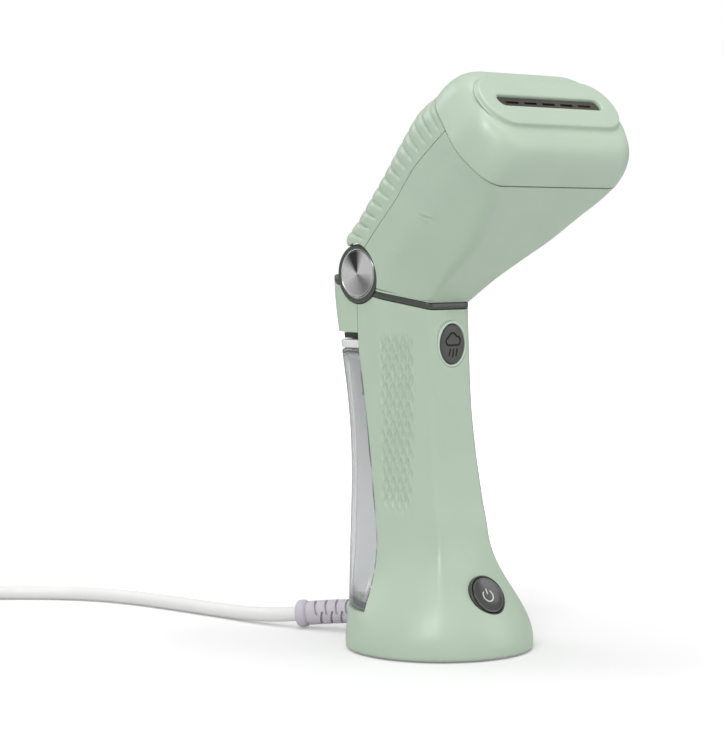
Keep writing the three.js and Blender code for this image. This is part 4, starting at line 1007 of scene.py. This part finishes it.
# The steam cap: one closed skin from its joint line over the plateau into the slot.
def cap_half(inset=0.0, scale=(1, 1)):
    depth = CAP_HIGH - CAP_LOW - 2 * inset
    pts = section(CAP_FLAT - 0.6 * inset, CAP_HALF - inset, CAP_BACK - inset, CAP_SHOULDER * depth, depth,
                  [r - 0.6 * inset for r in CAP_R], 20)
    return np.column_stack([pts[:, 0] * scale[0], (pts[:, 1] + CAP_LOW + inset) * scale[1]])


def stadium_half(a, b, r):
    pts = [(0, -b)]
    for start, cx, cy in ((-90, a - r, -b + r), (0, a - r, b - r)):
        for k in range(25):
            angle = math.radians(start + 90 * k / 24)
            pts.append((cx + r * math.cos(angle), cy + r * math.sin(angle)))
    pts.append((0, b))
    return np.array(pts)


CAP_COLS = 110


def cap_row(half, z):
    ring = both_sides(resample(half, CAP_COLS))[:-1]
    return np.array([to_head(x, y, z) for x, y in ring])


pa, pb, pr, ph = PLATEAU
sa, sb = SLOT[0] / 2, SLOT[1] / 2
seam_at = -CAP_DEPTH + SEAM
cap_rows = [cap_row(cap_half(WALL), seam_at), cap_row(cap_half(0.5), seam_at),
            cap_row(cap_half(0.15), seam_at + 0.12), cap_row(cap_half(0.0), seam_at + 0.5)]
top_z = -ph
for t in np.concatenate([np.linspace(0.05, 0.8, 22), np.linspace(0.82, 1.0, 18)]):
    drop = 1 - math.sqrt(max(0.0, 1 - t ** CAP_ROUND))
    cap_rows.append(cap_row(cap_half(0, [1 + (s - 1) * drop for s in CAP_SCALE]),
                            seam_at + (top_z - seam_at) * t))
foot_from = both_sides(resample(cap_half(0, CAP_SCALE), CAP_COLS))[:-1]
foot_to = both_sides(resample(stadium_half(pa + 0.9, pb + 0.9, pr + 0.9), CAP_COLS))[:-1]
for t in (0.35, 0.7, 1.0):
    mixed = foot_from * (1 - t) + foot_to * t
    cap_rows.append(np.array([to_head(x, y, top_z + 0.05 * t) for x, y in mixed]))
for grow, z in ((0.55, top_z + 0.16), (0.25, top_z + 0.5), (0.08, top_z + 1.0), (0.0, top_z + 1.4),
                (-0.12, -0.55), (-0.4, -0.25), (-0.85, -0.07), (-1.4, 0.0)):
    cap_rows.append(cap_row(stadium_half(pa + grow, pb + grow, max(pr + grow, 1)), z))
outer_ring = both_sides(resample(stadium_half(pa - 1.4, pb - 1.4, pr - 1.4), CAP_COLS))[:-1]
slot_ring = both_sides(resample(stadium_half(sa + 1.0, sb + 1.0, sb + 0.999), CAP_COLS))[:-1]
for t in (0.25, 0.5, 0.75, 1.0):
    mixed = outer_ring * (1 - t) + slot_ring * t
    cap_rows.append(np.array([to_head(x, y, 0.0) for x, y in mixed]))
for grow, z in ((0.6, -0.1), (0.3, -0.35), (0.1, -0.7), (0.0, -1.1), (0.0, -6.0), (1.5, -6.0)):
    cap_rows.append(cap_row(stadium_half(sa + grow, sb + grow, sb + grow - 0.001), z))
for t in (1.0, 0.9, 0.7, 0.45, 0.2, 0.0):
    drop = 1 - math.sqrt(max(0.0, 1 - t ** CAP_ROUND))
    cap_rows.append(cap_row(cap_half(WALL, [1 + (s - 1) * drop for s in CAP_SCALE]),
                            seam_at + 0.01 + (top_z - WALL - 2 - seam_at) * t))
cap_rows.append(cap_rows[0])
cap = recalc(grid("steam_face", cap_rows, closed=True))
finish_piece(cap, GREEN, "head", "green_plastic", ["steam_cap"], 50)
frame["nodes"]["nozzle_strip"].data.materials[0] = BRONZE

# --------------------------------------------------------------- the tank
def tank_ring(z, inset, grow=0.0):
    limit = TANK_Y + z * math.tan(TANK_LEAN) + TANK_SIDE_GAP + inset
    side = clip_above(handle_side(z, 0.25 + inset), lambda p: p[1] - limit)
    half = np.vstack([[(0, limit)], side])
    ring = both_sides(resample(half, 70))[:-1]
    return with_z(ring, z)


def quarter(steps):
    return [math.pi / 2 * k / steps for k in range(steps + 1)]


def lower_edge(ring, z, radius, steps, inset=0.0):
    """Rings that round a solid's lower edge, from its underside up to its side."""
    return [ring(z + radius * (1 - math.cos(a)), inset + radius * (1 - math.sin(a))) for a in quarter(steps)]


def upper_edge(ring, z, radius, steps, inset=0.0):
    """Rings that round a solid's upper edge, from its side over to its top."""
    return [ring(z - radius * (1 - math.sin(a)), inset + radius * (1 - math.cos(a))) for a in quarter(steps)]


tank_rows = [tank_ring(TANK_BOTTOM + SEAM, 6.0), tank_ring(TANK_BOTTOM + SEAM, 3.0)]
tank_rows += lower_edge(tank_ring, TANK_BOTTOM + SEAM, 1.8, 6)
for z in np.linspace(TANK_BOTTOM + 4, TANK_TOP - 2.5, 60):
    tank_rows.append(tank_ring(z, 0))
tank_rows += upper_edge(tank_ring, TANK_TOP, 1.6, 6)
tank_rows.append(tank_ring(TANK_TOP, 4.0))
tank = recalc(grid("water_tank_clear", tank_rows, closed=True, caps=(True, True)))
inner_rows = [tank_ring(TANK_BOTTOM + TANK_WALL + 1.2, 5)]
inner_rows += lower_edge(tank_ring, TANK_BOTTOM + TANK_WALL + 1.2, 2, 5, TANK_WALL)
for z in np.linspace(TANK_BOTTOM + 8, TANK_TOP - 6, 50):
    inner_rows.append(tank_ring(z, TANK_WALL))
inner_rows += upper_edge(tank_ring, TANK_TOP - TANK_WALL, 2, 5, TANK_WALL)
inner_rows.append(tank_ring(TANK_TOP - TANK_WALL, 5))
hollow = recalc(grid("hollow", inner_rows, closed=True, caps=(True, True)))
boolean(tank, hollow)
valve_lo, valve_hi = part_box("tank_valve")
valve_mid = (valve_lo + valve_hi) / 2 / MM
boolean(tank, y_cylinder(5.2, 30, 70, 64, (0, 0, STOPPER_Z)))
boolean(tank, y_cylinder(valve_hi.x / MM + 0.25, -14, 14, 64, valve_mid))
finish_piece(tank, CLEAR, "tank", "clear_plastic", ["water_tank"], 40)

cap_lo, cap_hi = (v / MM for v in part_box("tank_cap"))


def cover_ring(z, inset):
    limit = cap_lo.y + inset
    side = clip_above(handle_side(z, 0.3 + inset), lambda p: p[1] - limit)
    half = np.vstack([[(0, limit)], side])
    return with_z(both_sides(resample(half, 70))[:-1], z)


rows = [cover_ring(cap_lo.z + 0.02, 3)]
rows += lower_edge(cover_ring, cap_lo.z + 0.02, 0.5, 5)
rows += upper_edge(cover_ring, cap_hi.z - 0.02, 1.0, 7)
rows.append(cover_ring(cap_hi.z - 0.02, 4))
tank_lid = recalc(grid("tank_lid", rows, closed=True, caps=(True, True)))
finish_piece(tank_lid, PALE, "tank", "pale_plastic", ["tank_cap"], 40)


# ------------------------------------------------------- rounded CAD boxes
def soften(node, material, width, segments=4, angle=35):
    """Rounds a CAD node's own edges where it shows, without moving it."""
    obj = frame["nodes"][node]
    obj.data.materials.clear()
    obj.data.materials.append(material)
    mod = obj.modifiers.new("edges", "BEVEL")
    mod.width, mod.segments = width * MM, segments
    mod.limit_method = "ANGLE"
    mod.angle_limit = math.radians(angle)
    return obj


for node, width in (("rubber_foot", 0.25), ("tank_latch", 0.35), ("base_plate", 0.3), ("boiler_block", 0.4),
                    ("boiler_lid", 0.3), ("pump_body", 0.4), ("control_board", 0.15), ("switch_bracket", 0.2),
                    ("cord_clamp", 0.25), ("boiler_bracket", 0.3), ("hinge_yoke", 0.3),
                    ("steam_switch", 0.25),
                    ("power_switch", 0.25), ("tank_valve", 0.25), ("inlet_port", 0.2), ("inner_frame", 0.2)):
    obj = frame["nodes"][node]
    soften(node, obj.data.materials[0], width, 3)

# The stopper keeps its CAD shape, with rounded edges.
soften("tank_stopper", GREY, 0.35, 4)

# ---------------------------------------------------------------- buttons
def cloud_outline(size):
    """A cloud with a flat underside, drawn from three circles."""
    pts = []
    for cx, cy, r, a0, a1 in ((-0.52, 0.0, 0.36, 270, 112), (-0.06, 0.30, 0.46, 158, 22),
                              (0.5, 0.03, 0.39, 68, -90)):
        for k in range(13):
            a = math.radians(a0 + (a1 - a0) * k / 12)
            pts.append((size * (cx + r * math.cos(a)), size * (cy + r * math.sin(a))))
    return pts


def ribbon(points, width, depth_low, depth_high, closed=False):
    """A flat band along a drawn line, as a cutter."""
    data = bpy.data.curves.new("line", "CURVE")
    data.dimensions = "3D"
    spline = data.splines.new("POLY")
    spline.points.add(len(points) - 1)
    for p, (x, y) in zip(spline.points, points):
        p.co = (x * MM, y * MM, (depth_low + depth_high) / 2 * MM, 1)
    spline.use_cyclic_u = closed
    data.bevel_depth = width / 2 * MM
    data.bevel_resolution = 2
    data.use_fill_caps = True
    temp = bpy.data.objects.new("line", data)
    scene.collection.objects.link(temp)
    mesh = bpy.data.meshes.new_from_object(temp.evaluated_get(bpy.context.evaluated_depsgraph_get()))
    bpy.data.objects.remove(temp)
    obj = bpy.data.objects.new("line", mesh)
    scene.collection.objects.link(obj)
    return recalc(obj)


steam_out = Vector((0, -1, 0))
power_out = Vector((0, -math.cos(POWER_TILT), math.sin(POWER_TILT)))

# Steam button: a soft oval dome.
dome = [(3.0, -4.08), (0.4, -4.08), (0.1, -3.8), (0.0, -3.4), (0.0, -0.1), (0.06, 0.12), (0.22, 0.32),
        (0.5, 0.5),
        (1.0, 0.66), (1.9, 0.78), (3.2, 0.85), (4.8, 0.88), (6.2, 0.89), (7.4, 0.9)]
steam = oval_solid("steam_key", STEAM_HALF, dome, steam_frame)
stem = turned("stem", [(1.6, -5.88), (1.6, -3.9)], 32, steam_frame)
boolean(steam, stem, "UNION")
outline = cloud_outline(5.1)
for points, closed in (([(x, y + 1.3) for x, y in outline], True),
                       ([(-1.7, -2.0), (-2.5, -5.6)], False), ([(0.45, -2.0), (-0.35, -6.2)], False),
                       ([(2.6, -2.0), (1.8, -5.6)], False)):
    line = ribbon(points, 1.0, 0.66, 0.98, closed)
    line.data.transform(steam_frame)
    boolean(steam, line)
steam.data.materials.clear()
finish_piece(steam, BUTTON, "steam_button", "dark_plastic", ["steam_button"], 30)
steam.data.materials.append(INK)
centre_s = Vector((0, front_y[STEAM_Z], STEAM_Z))
for polygon in steam.data.polygons:
    local = (polygon.center / MM) - centre_s
    rise = local.dot(steam_out)
    r = math.hypot(local.x / (STEAM_HALF[0] - 1.4), local.z / (STEAM_HALF[1] - 1.4))
    if r < 1 and rise > 0 and polygon.normal.dot(steam_out) < 0.98 and rise < 0.84:
        polygon.material_index = 1
    elif r < 0.9 and 0.2 < rise < 0.70:
        polygon.material_index = 1

bezel_rows = [(0.0, -3.35), (0.0, 0.25), (0.05, 0.42), (0.18, 0.58), (0.4, 0.67), (0.62, 0.68), (0.85, 0.6),
              (1.05, 0.42), (1.15, 0.2), (1.2, -0.1), (1.2, -3.35)]
bezel_halves = [half + STEAM_BEZEL for half in STEAM_HALF]
bezel = recalc(grid("steam_ring", oval_rows(bezel_halves, bezel_rows + bezel_rows[:1]), closed=True))
bezel.data.transform(steam_frame)
finish_piece(bezel, RING_LIGHT, "handle", "green_plastic", ["steam_bezel"], 40)

# Power button: a dished round key in a thin dark rim.
dish = [(5.0, -3.88), (0.5, -3.88), (0.1, -3.6), (0.0, -3.2), (0.0, 0.55), (0.05, 0.78), (0.2, 0.98),
        (0.42, 1.07),
        (0.75, 1.08), (1.15, 0.98), (1.9, 0.80), (3.2, 0.62), (5.0, 0.50), (6.8, 0.45), (8.3, 0.44)]
power = oval_solid("power_key", (POWER_R, POWER_R), dish, power_frame)
arc = [(2.9 * math.sin(math.radians(a)), 2.9 * math.cos(math.radians(a)) - 0.2) for a in range(40, 321, 8)]
for points in (arc, [(0, 3.3), (0, 0.4)]):
    line = ribbon(points, 0.75, 0.40, 0.62)
    line.data.transform(power_frame)
    boolean(power, line)
finish_piece(power, GLOSS, "power_button", "dark_plastic", ["power_button"], 30)
power.data.materials.append(PRINT)
centre_p = Vector((0, front_y[POWER_Z], POWER_Z))
for polygon in power.data.polygons:
    local = (polygon.center / MM) - centre_p
    rise = local.dot(power_out)
    radial = (local - power_out * rise).length
    if radial < 4.2 and rise > 0 and (polygon.normal.dot(power_out) < 0.9 or rise < 0.40):
        polygon.material_index = 1

rim_rows = [(0.0, -3.55), (0.0, 0.2), (0.06, 0.4), (0.2, 0.54), (0.38, 0.58), (0.58, 0.54), (0.72, 0.4),
            (0.78, 0.2),
            (0.8, -3.55)]
rim = hoop("power_ring", [(POWER_R + POWER_RIM - inset, z) for inset, z in rim_rows], 96, power_frame)
finish_piece(rim, DARK, "handle", "dark_plastic", ["power_rim"], 40)

# ------------------------------------------------------------------ hinge
for side, name in ((-1, "left"), (1, "right")):
    axis = Matrix.Translation((0, HINGE_Y * MM, HINGE_Z * MM)) @ Matrix.Rotation(side * math.pi / 2, 4, "Y")
    ring_lo, ring_hi = (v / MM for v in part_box("hinge_ring_" + name))
    near, far = sorted((abs(ring_lo.x), abs(ring_hi.x)))
    r_out, r_in = RING_RADIUS - 0.02, DISC_RADIUS + 0.3
    profile = [(2.4, near + 0.02), (r_out - 0.3, near + 0.02), (r_out, near + 0.3), (r_out, far - 0.55),
               (r_out - 0.1, far - 0.25), (r_out - 0.3, far - 0.08), (r_out - 0.6, far - 0.01),
               (r_in + 0.75, far - 0.01), (r_in + 0.55, far - 0.08), (r_in + 0.4, far - 0.3),
               (r_in + 0.35, far - 0.5),
               (r_in + 0.35, far - 0.92), (2.4, far - 0.92)]
    ring = hoop("hinge_housing_" + name, profile, 128, axis)
    finish_piece(ring, DARK, "handle", "dark_plastic", ["hinge_ring_" + name], 40)
    band_profile = [(r_in + 0.32, far - 0.85), (r_in + 0.32, far - 0.12), (r_in + 0.22, far),
                    (r_in + 0.02, far + 0.02),
                    (r_in - 0.12, far - 0.12), (r_in - 0.16, far - 0.85)]
    band = hoop("bright_ring_" + name, band_profile, 128, axis)
    finish_piece(band, RIM_METAL, "handle", "brushed_metal", [], 40)
    disc_lo, disc_hi = (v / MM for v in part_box("hinge_disc_" + name))
    d_near, d_far = sorted((abs(disc_lo.x), abs(disc_hi.x)))
    r = DISC_RADIUS - 0.02
    face = [(0.01, d_near + 0.02), (r - 0.2, d_near + 0.02), (r, d_near + 0.2), (r, d_far - 0.42),
            (r - 0.1, d_far - 0.2),
            (r - 0.32, d_far - 0.06), (r - 0.7, d_far - 0.02), (r - 2.2, d_far - 0.05), (r - 5, d_far - 0.12),
            (r - 8, d_far - 0.16), (0.01, d_far - 0.18)]
    disc = turned("hinge_face_" + name, face, 128, axis)
    finish_piece(disc, METAL_PAINTED_REFLECTION, "handle", "brushed_metal", ["hinge_disc_" + name], 30)

# ---------------------------------------------------------- strain relief
relief_path = [Vector(p) for p in ((0, 38, 11.5), (0, 46, 11.5), (-2.6, 56, 10.2), (-8, 68.5, 9),
                                   (-16.6, 83.4, 7.1))]


def spline_point(points, t):
    """A point of the smooth line through the given points."""
    n = len(points) - 1
    s = min(max(t, 0), 1) * n
    i = min(int(s), n - 1)
    f = s - i
    p = [points[max(i - 1, 0)], points[i], points[i + 1], points[min(i + 2, n)]]
    return 0.5 * ((2 * p[1]) + (p[2] - p[0]) * f + (2 * p[0] - 5 * p[1] + 4 * p[2] - p[3]) * f * f
                  + (3 * p[1] - p[0] - 3 * p[2] + p[3]) * f**3)


fine_path = [spline_point(relief_path, k / 400) for k in range(401)]
walk = [0.0]
for a, b in zip(fine_path, fine_path[1:]):
    walk.append(walk[-1] + (b - a).length)
relief_length = walk[-1]


def path_at(distance):
    i = int(np.searchsorted(walk, distance))
    i = min(max(i, 1), 400)
    f = (distance - walk[i - 1]) / (walk[i] - walk[i - 1])
    point = fine_path[i - 1].lerp(fine_path[i], min(max(f, 0), 1))
    direction = (fine_path[min(i + 3, 400)] - fine_path[max(i - 4, 0)]).normalized()
    return point, direction


def relief_radius(d):
    """Tapered sleeve with a rounded collar at the cord's end."""
    left = relief_length - d
    if left < 5.4:
        u = (left - 2.7) / 2.7
        bulge = math.sqrt(max(0.0, 1 - abs(u) ** 2.6))
        return 5.0 + 1.75 * bulge
    taper = 7.55 + (5.85 - 7.55) * min(1, d / 12)
    return taper if left > 6.2 else 5.35 + (taper - 5.35) * (left - 5.4) / 0.8


def slot_depth(d, angle):
    """Slots cut alternately into the top and the bottom of the sleeve."""
    depth = 0.0
    start = relief_length - 11.5
    for k in range(6):
        for top in (True, False):
            centre = start - SLEEVE_PITCH * k - (0 if top else SLEEVE_PITCH / 2)
            if centre < 11.5:
                continue
            # Upper slots curve with the surface; lower ones run diagonally.
            up = math.sin(angle)
            if top:
                lean, zone = 1.2 * up, up > -0.12
            else:
                lean, zone = -1.9 * (up + 0.1), up < 0.10
            if zone and abs(d - centre - lean) < SLEEVE_CUT_HALF:
                depth = SLEEVE_CUT
    return depth


AROUND = 128
rows = []
steps = 420
for k in range(steps + 1):
    d = relief_length * k / steps
    point, direction = path_at(d)
    side = direction.cross(Vector((0, 0, 1))).normalized()
    up = side.cross(direction).normalized()
    r = relief_radius(d)
    row = []
    for j in range(AROUND):
        a = 2 * math.pi * j / AROUND
        rr = r - slot_depth(d, a)
        v = point + side * (rr * math.cos(a)) + up * (rr * math.sin(a))
        row.append((v.x, v.y, max(v.z, 0.15)))
    rows.append(row)
sleeve = recalc(grid("cord_sleeve", rows, closed=True, caps=(True, True)))
finish_piece(sleeve, MAUVE, "handle", "mauve_rubber", ["strain_relief"], 35)

# ------------------------------------------------------------- floor, light
for default in [o for o in scene.objects if o.name in ("Cube", "Light", "Camera")]:
    bpy.data.objects.remove(default)
floor = recalc(grid("floor", [[(-4000, -3000, 0), (4000, -3000, 0)], [(-4000, 6000, 0), (4000, 6000, 0)]]))
floor_material, nodes, links, bsdf, out = shader("floor")
bsdf.inputs["Base Color"].default_value = (0.72, 0.72, 0.72, 1)
bsdf.inputs["Roughness"].default_value = 0.8
bsdf.inputs["Specular IOR Level"].default_value = 0.05
# Seen straight from the camera the floor is lifted to a white page; it keeps the object's shadow.
glow = nodes.new("ShaderNodeEmission")
seen_floor = nodes.new("ShaderNodeLightPath")
lift = nodes.new("ShaderNodeMath")
lift.operation = "MULTIPLY"
place = nodes.new("ShaderNodeNewGeometry")
away = nodes.new("ShaderNodeVectorMath")
away.operation = "LENGTH"
links.new(place.outputs["Position"], away.inputs[0])
links.new(ramp(nodes, links, away.outputs["Value"], 0.22, 1.0, 0.12, 0.6), lift.inputs[1])
links.new(seen_floor.outputs["Is Camera Ray"], lift.inputs[0])
links.new(lift.outputs[0], glow.inputs["Strength"])
both = nodes.new("ShaderNodeAddShader")
links.new(bsdf.outputs[0], both.inputs[0])
links.new(glow.outputs[0], both.inputs[1])
links.new(both.outputs[0], out.inputs[0])
floor.data.materials.append(floor_material)

world = bpy.data.worlds.new("studio")
scene.world = world
world.use_nodes = True
nodes, links = world.node_tree.nodes, world.node_tree.links
nodes.clear()
output = nodes.new("ShaderNodeOutputWorld")
seen = nodes.new("ShaderNodeBackground")
seen.inputs["Color"].default_value = (1, 1, 1, 1)
seen.inputs["Strength"].default_value = 1.0
lit = nodes.new("ShaderNodeBackground")
lit.inputs["Color"].default_value = (1.0, 1.0, 1.0, 1)
lit.inputs["Strength"].default_value = 0.42
path = nodes.new("ShaderNodeLightPath")
mix = nodes.new("ShaderNodeMixShader")
links.new(path.outputs["Is Camera Ray"], mix.inputs[0])
links.new(lit.outputs[0], mix.inputs[1])
links.new(seen.outputs[0], mix.inputs[2])
links.new(mix.outputs[0], output.inputs[0])


def area(name, location, target, size, power, size_y=None, color=(1, 1, 1)):
    data = bpy.data.lights.new(name, "AREA")
    data.shape = "RECTANGLE" if size_y else "SQUARE"
    data.size = size
    if size_y:
        data.size_y = size_y
    data.energy = power
    data.color = color
    obj = bpy.data.objects.new(name, data)
    obj.location = location
    obj.rotation_euler = (Vector(target) - Vector(location)).to_track_quat("-Z", "Y").to_euler()
    scene.collection.objects.link(obj)
    return obj


area("key", (-1.5, -0.9, 1.35), (0, 0, 0.12), 0.8, 19, 0.8)
area("top", (0.0, -0.3, 1.9), (0, 0, 0.1), 1.2, 14)
area("right fill", (0.9, -1.1, 0.6), (0, 0, 0.13), 0.7, 4.2, 1.1)
area("rim", (-0.4, 1.3, 0.9), (0, 0, 0.15), 0.8, 4)
